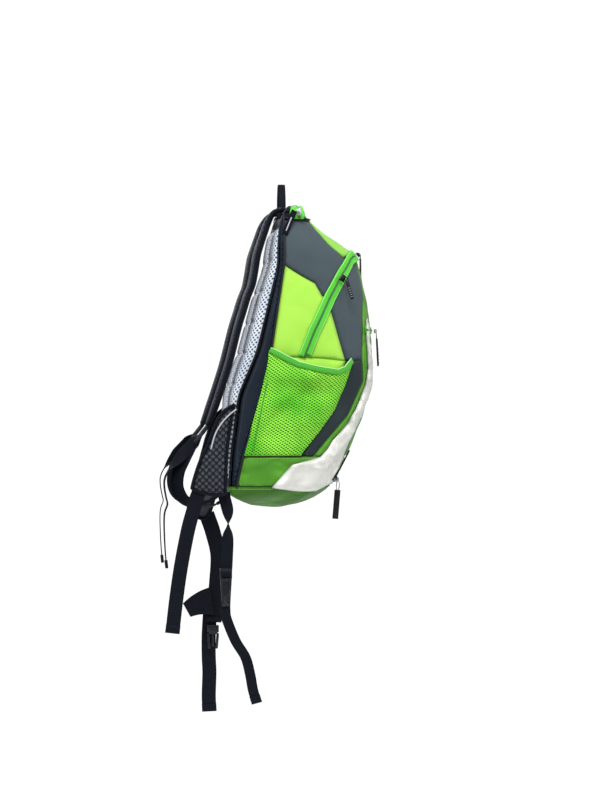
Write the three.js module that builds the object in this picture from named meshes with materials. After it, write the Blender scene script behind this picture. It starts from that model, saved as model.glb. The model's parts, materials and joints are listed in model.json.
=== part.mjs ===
// Hydration daypack, hanging from its haul loop. Millimetres, +Z up, wearer faces +Y,
// wearer's left is -X, outer front of the pack is -Y. Origin at the top of the haul loop.
import * as THREE from "three";
import { mergeVertices } from "three/addons/utils/BufferGeometryUtils.js";

// ---- driving dimensions -------------------------------------------------------------
const FABRIC = 1.6; // stands for lined pack fabric
const SEAM = 0.3; // gap kept between pieces that touch
const WEBBING = 2.0; // webbing thickness
const TAPE = 1.1; // zip tape with its coil
const TAPE_WIDTH = 7.4; // one half of the zip tape
const STRAP_WIDTH = 62;
const STRAP_THICK = 12;
const SQUARENESS = 3; // superellipse exponent of the horizontal sections
const PIVOT = [-25, -264]; // lower end of the U zip: the flap folds about this line

// Side profile as [y, z]: back plane, outer front, and half width against height.
const BACK = [[-7, -36], [-2, -41], [3, -47], [11, -70], [13.5, -100], [14, -127], [45, -254],
  [73, -321], [84, -406], [87, -456], [86, -466], [75, -476], [52, -483], [20, -487.4]];
const FRONT = [[-12, -36], [-27, -42], [-44, -62], [-59, -75], [-81, -90], [-101, -104],
  [-110, -108], [-114.5, -125], [-119.5, -147], [-127, -183], [-133, -216], [-135.5, -255],
  [-134.5, -300], [-128, -327], [-120, -354], [-104, -393], [-95, -412], [-77, -448],
  [-72, -456], [-61, -466], [-43, -476], [-22, -483], [10, -487.4]];
const HALF_WIDTH = [[72, -36], [88, -40], [97, -47], [104, -60], [110, -80], [115, -110],
  [118, -150], [120, -200], [120, -440], [118, -456], [112, -466], [98, -476], [75, -483],
  [20, -487.4]];
// Seams on the side, as [y, z].
const GUSSET = [[0, -47], [4, -70], [4, -127], [23, -254], [37, -321], [64, -406], [75, -456]];
const ZIP = [[-111, -109], [-88, -134], [-66, -174], [-40.5, -225], [-25, -264]];
const PANEL_FRONT = [[-22, -47], [-38, -60], [-63, -90], [-90, -107], [-101, -109],
  ...ZIP.slice(1), [-85, -311], [-21, -410], [-12, -456]];
const LEVELS = [-47, -60, -75, -90, -107, -109, -121, -134, -154, -174, -200, -225, -245, -264,
  -280, -295, -311, -335, -360, -385, -410, -433, -456];

// ---- small helpers ------------------------------------------------------------------
const group = new THREE.Group();
group.name = "hydration_pack";
const V = (x, y, z) => new THREE.Vector3(x, y, z);
const lerp = (a, b, t) => a + (b - a) * t;
const range = (n) => Array.from({ length: n }, (_, i) => i);

/** Value of a [value, z] table at height z. */
function at(table, z) {
  for (let i = 1; i < table.length; i++) {
    if (z >= table[i][1]) {
      const [a, b] = [table[i - 1], table[i]];
      return lerp(a[0], b[0], Math.max(0, (z - a[1]) / (b[1] - a[1])));
    }
  }
  return table[table.length - 1][0];
}

/** Evenly resamples a polyline of arrays to n + 1 points along its length. */
function resample(points, n) {
  const steps = points.slice(1).map((p, i) => Math.hypot(...p.map((v, k) => v - points[i][k])));
  const total = steps.reduce((a, b) => a + b, 0);
  return range(n + 1).map((k) => {
    let s = (total * k) / n;
    let i = 0;
    while (i < steps.length - 1 && s > steps[i]) s -= steps[i++];
    const t = Math.min(1, s / steps[i]);
    return points[i].map((v, c) => lerp(v, points[i + 1][c], t));
  });
}

/** Point of the pack's skin at angle phi (0 left back corner, 90 deg front, 180 right). */
function skin(phi, z) {
  const [yb, yf, w] = [at(BACK, z), at(FRONT, z), at(HALF_WIDTH, z)];
  const [c, s] = [Math.cos(phi), Math.sin(phi)];
  const r = (Math.abs(c) ** SQUARENESS + Math.abs(s) ** SQUARENESS) ** (-1 / SQUARENESS);
  return V(-w * r * c, yb - (yb - yf) * r * s, z);
}

/** Skin point moved outwards by `out`. */
function offSkin(phi, z, out) {
  const e = 0.01;
  const du = skin(phi + e, z).sub(skin(phi - e, z));
  const dz = skin(phi, z + 2).sub(skin(phi, z - 2));
  const n = du.cross(dz).normalize();
  if (n.dot(V(-Math.cos(phi), -Math.sin(phi), 0)) < 0) n.negate();
  return skin(phi, z).addScaledVector(n, out);
}

/** Angle on the left side where the skin has this y at height z. */
function angleOf(y, z) {
  const [yb, yf] = [at(BACK, z), at(FRONT, z)];
  const s = Math.min(0.9999, Math.max(0.001, (yb - y) / (yb - yf)));
  return Math.atan2(s, (1 - s ** SQUARENESS) ** (1 / SQUARENESS));
}

/** Closes two equal grids of points (outer and inner face) into one solid. */
function shell(outer, inner) {
  const [rows, cols] = [outer.length, outer[0].length];
  const pos = [];
  const tri = (a, b, c) => pos.push(...a.toArray(), ...b.toArray(), ...c.toArray());
  const quad = (a, b, c, d) => { tri(a, b, c); tri(a, c, d); };
  for (let i = 0; i < rows - 1; i++) {
    for (let j = 0; j < cols - 1; j++) {
      quad(outer[i][j], outer[i + 1][j], outer[i + 1][j + 1], outer[i][j + 1]);
      quad(inner[i][j], inner[i][j + 1], inner[i + 1][j + 1], inner[i + 1][j]);
    }
    quad(outer[i][0], inner[i][0], inner[i + 1][0], outer[i + 1][0]);
    quad(outer[i][cols - 1], outer[i + 1][cols - 1], inner[i + 1][cols - 1], inner[i][cols - 1]);
  }
  for (let j = 0; j < cols - 1; j++) {
    quad(outer[0][j], outer[0][j + 1], inner[0][j + 1], inner[0][j]);
    const k = rows - 1;
    quad(outer[k][j], inner[k][j], inner[k][j + 1], outer[k][j + 1]);
  }
  return closed(pos);
}

/** Merged, outward-facing geometry from a triangle soup. */
function closed(pos) {
  let volume = 0;
  for (let i = 0; i < pos.length; i += 9) {
    const [a, b, c] = [0, 3, 6].map((k) => V(pos[i + k], pos[i + k + 1], pos[i + k + 2]));
    volume += a.dot(b.cross(c));
  }
  if (volume < 0) {
    for (let i = 0; i < pos.length; i += 9) {
      for (let k = 0; k < 3; k++) {
        [pos[i + 3 + k], pos[i + 6 + k]] = [pos[i + 6 + k], pos[i + 3 + k]];
      }
    }
  }
  const g = new THREE.BufferGeometry();
  g.setAttribute("position", new THREE.Float32BufferAttribute(pos, 3));
  return mergeVertices(g, 1e-4);
}

/** Adds a named node with its own material. */
function add(name, geometry, color) {
  const material = new THREE.MeshStandardMaterial({ color, roughness: 0.8 });
  material.name = name;
  const mesh = new THREE.Mesh(geometry, material);
  mesh.name = name;
  group.add(mesh);
}

/** Copy of a geometry mirrored to the wearer's other side. */
function mirror(geometry) {
  const g = geometry.clone().toNonIndexed();
  const p = Array.from(g.attributes.position.array).map((v, i) => (i % 3 ? v : -v));
  return closed(p);
}

/** Adds NAME_left from a geometry and its mirror image as NAME_right. */
function addPair(name, geometry, color) {
  add(`${name}_left`, geometry, color);
  add(`${name}_right`, mirror(geometry), color);
}

/** Skin patch between two lines of [phi, z] points; lift(s, t) is its outer offset. */
function patch(lineA, lineB, n, thick, lift = () => 0) {
  const rows = lineA.map((a, i) => range(n + 1).map((j) => {
    const t = j / n;
    const b = lineB[i];
    const [phi, z] = [lerp(a[0], b[0], t), lerp(a[1], b[1], t)];
    const out = lift(i / (lineA.length - 1), t);
    return [offSkin(phi, z, out), offSkin(phi, z, out - thick)];
  }));
  return shell(rows.map((r) => r.map((p) => p[0])), rows.map((r) => r.map((p) => p[1])));
}

/** Sweeps a rectangle along frames {p, a, b}: a spans the width, b the thickness. */
function sweep(frames, width, thick) {
  const rings = frames.map(({ p, a, b, w = width, t = thick }) => [[-1, -1], [1, -1], [1, 1],
    [-1, 1]].map(([u, v]) => p.clone().addScaledVector(a, (u * w) / 2)
    .addScaledVector(b, (v * t) / 2)));
  return tube(rings);
}

/** Joins rings of equal length into a solid with flat ends. */
function tube(rings) {
  const pos = [];
  const tri = (a, b, c) => pos.push(...a.toArray(), ...b.toArray(), ...c.toArray());
  const n = rings[0].length;
  for (let i = 0; i < rings.length - 1; i++) {
    for (let j = 0; j < n; j++) {
      const k = (j + 1) % n;
      tri(rings[i][j], rings[i][k], rings[i + 1][k]);
      tri(rings[i][j], rings[i + 1][k], rings[i + 1][j]);
    }
  }
  const [first, last] = [rings[0], rings[rings.length - 1]];
  for (let j = 1; j < n - 1; j++) {
    tri(first[0], first[j + 1], first[j]);
    tri(last[0], last[j], last[j + 1]);
  }
  return closed(pos);
}

/** Frames for a band that keeps one width direction along a path. */
function framesAlong(points, across) {
  return points.map((p, i) => {
    const prev = points[Math.max(0, i - 1)];
    const next = points[Math.min(points.length - 1, i + 1)];
    const along = next.clone().sub(prev).normalize();
    const a = (typeof across === "function" ? across(i) : across).clone();
    a.addScaledVector(along, -a.dot(along)).normalize();
    return { p, a, b: along.clone().cross(a) };
  });
}

/** Flat band through [y, z] points at x (a number, or one per point). */
function band(points, x, width, thick, across = V(1, 0, 0)) {
  const xs = (i) => (typeof x === "number" ? x : x[i]);
  return sweep(framesAlong(points.map(([y, z], i) => V(xs(i), y, z)), across), width, thick);
}

/** Plate cut to a [y, z] outline, from x0 to x1. */
function plate(outline, x0, x1) {
  return tube([x0, x1].map((x) => outline.map(([y, z]) => V(x, y, z))));
}

const box = (x0, x1, y0, y1, z0, z1) => plate([[y0, z0], [y1, z0], [y1, z1], [y0, z1]], x0, x1);
const inRange = (hi, lo) => LEVELS.filter((z) => z <= hi && z >= lo);

// ---- colours ------------------------------------------------------------------------
const LIME = 0xb4ff50, GREEN = 0x6fc832, SLATE = 0x505f62, BLACK = 0x141c28, STEEL = 0xb8bcc0;
const GREY = 0x98a2ae, SILVER = 0xe6e6e0, TAPE_GREEN = 0x5aeb64, CLEAR = 0xbfd8e8;

// ---- body panels --------------------------------------------------------------------
const half = SEAM / 2;

/** Side line as [phi, z] points, moved along y by dy. */
const sideLine = (table, levels, dy) => levels.map((z) => [angleOf(at(table, z) + dy, z), z]);

function sidePanel() {
  const rows = inRange(-47, -456);
  return patch(sideLine(GUSSET, rows, -0.4), sideLine(PANEL_FRONT, rows, 0.6), 5, FABRIC);
}

function gussetSide() {
  const rows = inRange(-47, -456);
  return patch(rows.map((z) => [0.02, z]), sideLine(GUSSET, rows, 0.4), 2, FABRIC);
}

/** Panel across the front between the left line and its mirror image. */
function acrossFront(line, n, thick = FABRIC, lift = undefined) {
  return patch(line, line.map(([phi, z]) => [Math.PI - phi, z]), n, thick, lift);
}

addPair("side_panel", sidePanel(), LIME);
addPair("gusset", gussetSide(), BLACK);
add("top_panel", acrossFront(sideLine(PANEL_FRONT, inRange(-47, -107), -0.6), 10), GREEN);
add("lower_front", acrossFront(sideLine(PANEL_FRONT, inRange(-311, -456).map((z) => z - 0.01),
  -0.6).map(([p, z], i) => [p, z - (i ? 0 : 0.5)]), 10), GREEN);

/** Flap of the U zip: from the zip line to its lower edge, left to right. */
function flapLines() {
  const zip = inRange(-109, -250).map((z) => [angleOf(at(ZIP, z) - 0.7, z), z]);
  zip[0][1] -= 0.6;
  const edge = resample([[-33, -255], [-98, -232], [-112, -237], [-126, -240]]
    .map(([y, z]) => [angleOf(y, z), z]), zip.length - 1);
  return { zip: [...zip].reverse(), edge };
}

function flapPanel() {
  const { zip, edge } = flapLines();
  const over = range(7).map((i) => (i + 1) / 8);
  const [zTop, p0] = [zip[zip.length - 1][1], zip[zip.length - 1][0]];
  const [zLow, q0] = [edge[edge.length - 1][1], edge[edge.length - 1][0]];
  const flip = ([phi, z]) => [Math.PI - phi, z];
  const top = [...zip, ...over.map((t) => [lerp(p0, Math.PI - p0, t), zTop]),
    ...[...zip].reverse().map(flip)];
  const low = [...edge, ...over.map((t) => [lerp(q0, Math.PI - q0, t), zLow]),
    ...[...edge].reverse().map(flip)];
  return patch(top, low, 6, FABRIC);
}
add("flap_panel", flapPanel(), SLATE);

/** Soft fold below the flap, between its lower edge and the lower front. */
function creasePanel() {
  const upper = [[-29, -258], [-66, -246.5], [-97, -234.5], [-112, -239.5], [-126, -242.5]];
  const lower = [[-29.5, -265.5], [-52, -283], [-87, -310], [-105, -310], [-122, -310]];
  const lines = [upper, lower].map((l) => {
    const side = l.map(([y, z]) => [angleOf(y, z), z]);
    const [p, z] = side[side.length - 1];
    const mid = range(5).map((i) => [lerp(p, Math.PI - p, (i + 1) / 6), z]);
    return [...side, ...mid, ...[...side].reverse().map(([a, h]) => [Math.PI - a, h])];
  });
  return patch(lines[0], lines[1], 5, FABRIC);
}
add("flap_crease", creasePanel(), SLATE);

/** Closed ring round the pack at height z, `inset` inside the skin. */
function ring(z, inset) {
  const front = range(15).map((i) => {
    const p = skin((Math.PI * i) / 14, z);
    const c = V(0, (at(BACK, z) + at(FRONT, z)) / 2, z);
    const d = p.clone().sub(c);
    return p.addScaledVector(d.normalize(), -inset);
  });
  return front;
}

/** Shallow bowl from stacked rings, closed by a point, with wall thickness. */
function bowl(heights, apexZ, sign) {
  const tip = V(0, (at(BACK, heights[heights.length - 1]) + at(FRONT,
    heights[heights.length - 1])) / 2, apexZ);
  const outer = heights.map((z) => ring(z, 0.2));
  const inner = heights.map((z, i) => ring(z, 0.2 + FABRIC)
    .map((p) => p.setZ(z + (i ? sign * FABRIC * 0.9 : 0))));
  const pos = [];
  const tri = (a, b, c) => pos.push(...a.toArray(), ...b.toArray(), ...c.toArray());
  const n = outer[0].length;
  const innerTip = tip.clone().setZ(apexZ + sign * FABRIC);
  for (let j = 0; j < n; j++) {
    const k = (j + 1) % n;
    for (let i = 0; i < heights.length - 1; i++) {
      tri(outer[i][j], outer[i][k], outer[i + 1][k]);
      tri(outer[i][j], outer[i + 1][k], outer[i + 1][j]);
      tri(inner[i][j], inner[i + 1][k], inner[i][k]);
      tri(inner[i][j], inner[i + 1][j], inner[i + 1][k]);
    }
    const m = heights.length - 1;
    tri(outer[m][j], outer[m][k], tip);
    tri(inner[m][k], inner[m][j], innerTip);
    tri(outer[0][k], outer[0][j], inner[0][j]);
    tri(outer[0][k], inner[0][j], inner[0][k]);
  }
  return closed(pos);
}
add("bottom_panel", bowl([-456.5, -466, -476, -483], -487.4, 1), GREEN);
add("top_cap", bowl([-46.5, -42, -38.5], -36.6, -1), BLACK);

/** Sheet across the back between x = -edge and edge, from y offset d0 to d1 of the back. */
function backSheet(levels, edge, d0, d1, n = 6) {
  const rows = (d) => levels.map((z) => range(n + 1).map((j) => {
    const x = lerp(-1, 1, j / n) * (at(HALF_WIDTH, z) - edge);
    return V(x, at(BACK, z) + d(j / n * 2 - 1, z), z);
  }));
  return shell(rows(typeof d1 === "function" ? d1 : () => d1), rows(() => d0));
}
add("back_panel", backSheet(inRange(-47, -456), 2.4, -1.8, -0.2), BLACK);

/** Ribbed spacer-mesh pad: one half, with the air channel beside it. */
const PAD_DEPTH = [[4, -75], [7, -107], [8, -121], [14, -174], [16, -245], [15, -280], [8, -335],
  [9, -410], [4, -440]];
function backPad() {
  const levels = [-75, -90, -107, -121, -134, -154, -174, -200, -225, -245, -264, -280, -295,
    -311, -335, -360, -385, -410, -433, -440];
  const last = levels.length - 1;
  const rows = (deep) => levels.map((z, i) => range(7).map((j) => {
    const s = (j / 6) * 2 - 1;
    const w = at(HALF_WIDTH, z) - 22;
    const edge = Math.min(1, (1 - s ** 4) * 1.1) * (i === 0 || i === last ? 0.3 : 1);
    const out = deep ? Math.max(1.4, at(PAD_DEPTH, z) * edge) : 0.1;
    return V(lerp(-w, -12, j / 6), at(BACK, z) + out, z);
  }));
  return shell(rows(true), rows(false));
}
addPair("back_pad", backPad(), GREY);

// ---- zips ---------------------------------------------------------------------------
/** Zip tape half along [phi, z] points, on the side of the line that `side` gives. */
function tapeHalf(line, side, lift = 0.7) {
  const pts = line.map(([phi, z]) => offSkin(phi, z, lift + TAPE / 2));
  const frames = pts.map((p, i) => {
    const along = pts[Math.min(pts.length - 1, i + 1)].clone().sub(pts[Math.max(0, i - 1)]);
    along.normalize();
    const [phi, z] = line[i];
    const n = offSkin(phi, z, 1).sub(skin(phi, z)).normalize();
    const a = n.clone().cross(along).normalize();
    return { p: p.clone().addScaledVector(a, side * (TAPE_WIDTH / 2 + 0.35)), a, b: n };
  });
  return sweep(frames, TAPE_WIDTH, TAPE);
}
const zipSide = [-264, -245, -225, -200, -174, -154, -140, -130, -121]
  .map((z) => [angleOf(at(ZIP, z), z), z]);
const crest = [[-103, -115], [-109, -111.5]].map(([y, z]) => [angleOf(y, z), z]);
const zipLine = [...zipSide, ...crest, [Math.PI / 2 - 0.25, -109.5], [Math.PI / 2, -109],
  [Math.PI / 2 + 0.25, -109.5], ...[...zipSide, ...crest].reverse()
    .map(([p, z]) => [Math.PI - p, z])];
add("main_zip_tape_rear", tapeHalf(zipLine, 1), TAPE_GREEN);
add("main_zip_tape_front", tapeHalf(zipLine.slice(1, -1), -1), TAPE_GREEN);

const topArch = [[-103.6, -57], [-101, -47], [-95, -39.5], [-82, -35.4], [0, -34.6]];
const archLine = [...topArch, ...topArch.slice(0, -1).reverse().map(([x, z]) => [-x, z])];
const archFrames = framesAlong(archLine.map(([x, z]) => V(x, -19, z)), V(0, 1, 0));
add("top_zip_tape", sweep(archFrames, 13, TAPE), TAPE_GREEN);
const frontZip = range(17).map((i) => [lerp(0.98, Math.PI - 0.98, i / 16), -222]);
add("front_zip_tape", sweep(framesAlong(frontZip.map(([p, z]) => offSkin(p, z, 1.9)),
  V(0, 0.05, 1)), 9, TAPE), TAPE_GREEN);
const lowZip = range(13).map((i) => [lerp(1.08, Math.PI - 1.08, i / 12), -445]);
add("bottom_zip_tape", sweep(framesAlong(lowZip.map(([p, z]) => offSkin(p, z, 1.2)),
  V(0, -0.45, 0.9)), 9, TAPE), BLACK);

// ---- slider bodies and pulls ----------------------------------------------------------
/** Slider body: a small tapered block centred at p, 8 wide along a, thick along b. */
function slider(p, a, b, length = 9) {
  const c = a.clone().cross(b).normalize();
  return sweep([-0.5, -0.2, 0.5].map((t, i) => ({
    p: p.clone().addScaledVector(c, t * length), a, b, w: [5, 8, 7][i],
  })), 8, 3.4);
}
const [X, Y, Z] = [V(1, 0, 0), V(0, 1, 0), V(0, 0, 1)];

// Top zip slider parked at the left end of the arch, with its tab.
add("top_slider", slider(V(-107.6, -19, -48), Y, X), STEEL);
add("top_pull", band([[-12, -46], [-8, -54], [3, -81]], -110.8, 9, 1.4, V(0, 1, 0.4)), BLACK);

// U zip: slider A on the left straight, slider B on the crest, each with its pull.
const railTop = offSkin(angleOf(-95, -128), -128, 4.4);
const zipMid = (z) => offSkin(angleOf(at(ZIP, z), z), z, 6.4);
const railDir = zipMid(-225).sub(zipMid(-154)).normalize();
const railNormal = offSkin(angleOf(-66, -174), -174, 1).sub(skin(angleOf(-66, -174), -174));
const railAcross = railNormal.clone().cross(railDir).normalize();
const sliderA = zipMid(-154).addScaledVector(railDir, -9);
add("main_slider_a", slider(sliderA, railAcross, railDir.clone().cross(railAcross)), BLACK);
const pullFrames = (p, dir, across, drop) => framesAlong([p, p.clone().addScaledVector(dir, 4),
  p.clone().addScaledVector(dir, drop)], across);
const aRoot = sliderA.clone().addScaledVector(railNormal, 3.6);
add("main_pull_a", sweep(pullFrames(aRoot, V(-0.04, 0.1, -1).normalize(), railAcross, 36), 4.5, 2.4),
  BLACK);
const crestTop = at(FRONT, -109);
add("main_slider_b", slider(V(-18, crestTop - 3.6, -107.4), V(0, -0.6, -0.8).normalize(),
  V(0, -0.8, 0.6).normalize()), BLACK);
add("main_pull_b", sweep(framesAlong([V(-18, crestTop - 8.4, -107.5), V(-18, crestTop - 11, -116),
  V(-18, crestTop - 13.5, -146)], X), 4.5, 2.2), BLACK);

add("front_slider", slider(V(-30, -138.6, -222), X, Y), STEEL);
add("front_pull", sweep(framesAlong([V(-30, -141.6, -223), V(-30, -144.6, -232),
  V(-30, -145.4, -279)], X), 8, 1.3), BLACK);
const lowNormal = offSkin(Math.PI / 2, -445, 1).sub(skin(Math.PI / 2, -445)).normalize();
const lowSpot = skin(Math.PI / 2 - 0.2, -445).addScaledVector(lowNormal, 4.2);
add("bottom_slider", slider(lowSpot, X, lowNormal), STEEL);
const lowRoot = lowSpot.clone().addScaledVector(lowNormal, 6.8);
add("bottom_pull", sweep(framesAlong([lowRoot, V(lowRoot.x, lowRoot.y, lowRoot.z - 8),
  V(lowRoot.x, lowRoot.y - 1, -510)], Y), 9, 1.6), BLACK);

// ---- mesh pockets -----------------------------------------------------------------------
const POCKET_BULGE = 15;
const hemTop = [[22, -258], [6, -268], [-14, -277], [-42, -285], [-68, -287], [-82, -283],
  [-95, -272]];
const pocketFoot = [[59, -408], [45, -409], [30, -409], [15, -409], [2, -409], [-10, -409],
  [-19, -408]];
function pocket(t0, t1, thick, extra) {
  const at2 = (t) => hemTop.map(([y, z], i) => {
    const [fy, fz] = pocketFoot[i];
    const h = lerp(z, fz, t);
    const back = i === 0 ? at(GUSSET, h) - 3 : null;
    return [back ?? lerp(y, fy, t) - (i === 6 ? 14 * Math.sin(Math.PI * t) : 0), h];
  });
  const lines = [at2(t0), at2(t1)].map((l) => l.map(([y, z]) => [angleOf(y, z), z]));
  const lift = (s, t) => {
    const v = lerp(t0, t1, t);
    return 0.8 + thick + extra + POCKET_BULGE * Math.sin(Math.PI * s) ** 0.7
      * (1 - v ** 3) + 1.2 * Math.sin(Math.PI * s);
  };
  return patch(lines[0], lines[1], t1 - t0 > 0.5 ? 7 : 1, thick, lift);
}
addPair("mesh_pocket", pocket(0.075, 1, 1, 0), GREEN);
addPair("pocket_hem", pocket(0.0, 0.065, 1.8, 0), TAPE_GREEN);

// ---- reflective panels --------------------------------------------------------------------
const REFLECT_REAR = [[-118, -311], [-107, -335], [-95, -360], [-75, -385], [-50, -410],
  [-9, -433], [-4, -453]];
const REFLECT_FRONT = [[-125, -311], [-117, -335], [-108, -360], [-95, -385], [-87, -410],
  [-72, -433], [-56, -453]];
const reflectRows = [-312, -335, -360, -385, -410, -433, -453];
function reflective() {
  return patch(sideLine(REFLECT_REAR, reflectRows, 0), sideLine(REFLECT_FRONT, reflectRows, 0),
    3, 0.8, () => 1.9);
}
addPair("reflective_panel", reflective(), SILVER);

// ---- shoulder straps ------------------------------------------------------------------------
const strapLine = [[12, -43.5], [19, -50], [26, -63], [31, -77], [36.5, -93], [42, -111],
  [46, -135], [50, -155], [57, -173], [64, -196], [71, -219], [83, -267], [94, -303],
  [106, -339], [116, -364]];
const strapX = strapLine.map((_, i) => lerp(-58, -84, i / (strapLine.length - 1)));
function strapGeometry() {
  const pts = strapLine.map(([y, z], i) => V(strapX[i], y, z));
  const frames = framesAlong(pts, X).map((f, i) => ({
    ...f, w: i < 2 ? 24 + 16 * i : i > 12 ? lerp(STRAP_WIDTH, 34, (i - 12) / 2) : STRAP_WIDTH,
    t: i === 0 ? 6 : STRAP_THICK,
  }));
  return sweep(frames, STRAP_WIDTH, STRAP_THICK);
}
addPair("shoulder_strap", strapGeometry(), BLACK);
const lockLine = [[118.5, -368.5], [126, -381], [134, -392]];
addPair("ladder_lock", band(lockLine, -85, 27, 5), BLACK);
const lowerLine = [[136, -397.5], [148, -412], [158, -430], [162.5, -451], [158.5, -467],
  [148, -478], [128, -484.5], [108, -484], [92, -475]];
addPair("lower_webbing", band(lowerLine, -85, 20, WEBBING), BLACK);
const tailLine = [[137, -390.5], [159, -414], [180, -438], [182, -446], [179.5, -472],
  [176, -480], [180.5, -492], [182, -507], [179, -557], [179, -578]];
addPair("strap_tail", band(tailLine, -85, 20, 1.6), BLACK);

// ---- hip wings ---------------------------------------------------------------------------------
/** Padded wing from its [y, z] outline, outer face near x. */
function wing(outline, x) {
  const centre = [0, 1].map((k) => outline.reduce((s, p) => s + p[k] / outline.length, 0));
  const rim = (dx, inset) => outline.map(([y, z]) => V(x + dx, lerp(y, centre[0], inset),
    lerp(z, centre[1], inset)));
  return tube([rim(9, 0.08), rim(7, 0.02), rim(-1.5, 0.01), rim(-2.8, 0.04)]);
}
add("hip_wing_left", wing([[78, -334], [86, -338], [96, -346], [106, -364], [116, -390],
  [130, -420], [140, -452], [141, -461], [120, -467], [93, -468], [91.5, -452], [88.5, -400],
  [85, -360]], -118), BLACK);
add("hip_wing_right", mirror(wing([[77, -338], [85, -343], [94, -352], [103, -372], [112, -400],
  [122, -440], [129, -492], [129, -503], [117, -513], [105, -507], [96, -480], [90.5, -450],
  [88, -400], [84, -360]], -118)), BLACK);

// ---- belt webbings and buckle ---------------------------------------------------------------------
const alongY = V(0, 1, 0);
add("wing_tail_left", band([[133.5, -471.5], [137, -481], [147, -520], [157, -572], [167, -640],
  [170, -672]], -117, 21, 2.4, alongY), BLACK);
const beltLine = [[92, -472.5], [89.5, -482], [87.5, -492], [87, -503], [87, -517], [88, -545],
  [89.5, -577]];
add("belt_strap_left", band(beltLine, -107, 18, WEBBING, alongY), BLACK);
add("buckle_female", tube([[-578, 0.8], [-581, 1], [-604, 1.05], [-628, 1], [-637, 0.7]]
  .map(([z, k]) => [[-6, -8.5], [6, -8.5], [6, 8.5], [-6, 8.5]]
    .map(([dx, dy]) => V(-107 + dx * k, 90 + dy * k, z)))), BLACK);
const hookLine = [[92, -639], [90, -652], [76, -684], [61, -709], [51, -757], [44, -778]];
add("belt_tail_left", band(hookLine, -107, 16, 1.8, V(0.35, 0.94, 0)), BLACK);
add("belt_strap_right", band([[104, -514], [98, -532], [88, -567], [90, -610], [94, -640],
  [96, -672]], 112, 22, WEBBING, alongY), BLACK);
add("buckle_male", tube([[-673.5, 0.8], [-676, 1], [-690, 1], [-704, 0.8], [-714, 0.55]]
  .map(([z, k]) => [[-5, -9], [5, -9], [5, 9], [-5, 9]]
    .map(([dx, dy]) => V(112 + dx * k, 98 + dy * k, z)))), BLACK);
add("belt_tail_right", band([[101, -640], [104, -690], [103, -750], [103, -812]], 121, 22, 1.8,
  alongY), BLACK);

// ---- haul loop ---------------------------------------------------------------------------------------
const loopLine = [[-20, -34], [-17, -22], [-10, -8], [-6, -3], [0, -1.1], [6, -3], [10, -8],
  [17, -22], [20, -33]].map(([x, z]) => V(x, 0, z));
add("haul_loop", sweep(framesAlong(loopLine, Y), 10.7, 2.2), BLACK);

// ---- inside --------------------------------------------------------------------------------------------
const inner = inRange(-107, -433);
add("frame_sheet", backSheet(inner, 20, -10.4, -9.0), SILVER);
add("reservoir_sleeve", backSheet(inRange(-245, -433), 22, -42.5, -41.3), GREY);
function bladder() {
  const levels = [-150, -160, -200, -245, -295, -335, -385, -405, -415];
  const fill = [2, 6, 10, 12, 13, 13, 12, 7, 2];
  const rows = (sign) => levels.map((z, i) => range(7).map((j) => {
    const s = (j / 6) * 2 - 1;
    const t = Math.max(0.8, fill[i] * Math.sqrt(Math.max(0, 1 - s ** 4)));
    return V(s * 82, at(BACK, z) - 26 + sign * t, z);
  }));
  return shell(rows(1), rows(-1));
}
add("reservoir", bladder(), CLEAR);
const round = (r, n = 20) => range(n).map((i) => {
  const a = (2 * Math.PI * i) / n;
  return [r * Math.cos(a), r * Math.sin(a)];
});
/** Short round piece from a point along a direction, with [distance, radius] stations. */
function turned(base, along, stations, n = 20) {
  const up = V(1, 0, 0).cross(along).normalize();
  return tube(stations.map(([d, r]) => round(r, n).map(([u, v]) => base.clone()
    .addScaledVector(along, d).addScaledVector(V(1, 0, 0), u).addScaledVector(up, v))));
}
const portBase = V(0, at(BACK, -205) - 37.4, -205);
const portAxis = V(0, -0.98, -0.196).normalize();
add("fill_port", turned(portBase, portAxis, [[0, 24], [4, 24], [4.01, 21], [7, 21]]), STEEL);
add("fill_cap", turned(portBase, portAxis, [[7.4, 23], [12.4, 23], [14.4, 20]]), BLACK);
add("outlet_valve", turned(V(30, at(BACK, -415) - 26, -415.5), V(0, 0, -1),
  [[0, 8], [3, 8], [3.01, 5], [11, 5]], 14), BLACK);
add("hanger_loop", band([[2, -96], [-6, -110], [-8.5, -138]], 0, 16, 1.6), BLACK);
add("hose_port", turned(V(0, at(BACK, -62) + 1.4, -62), V(0, 1, 0.35).normalize(),
  [[0, 8], [2, 8], [3, 6]], 14), BLACK);

export default group;
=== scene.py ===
"""Looks of a slim hydration daypack that hangs from its haul loop.

Every length in the tables is in millimetres in the row frame: +Z up, the wearer faces +Y and
the pack's outer front is -Y. Seams are drawn on a side template: the side elevation turned a few
degrees towards the back, so a template point is (y + TURN * x, z).
"""

from __future__ import annotations

import json
import logging
import math
from dataclasses import dataclass, field
from enum import Enum
from functools import cache
from typing import Callable, Sequence

import bmesh
import bpy
import numpy as np
from mathutils import Matrix, Vector, geometry

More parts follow.
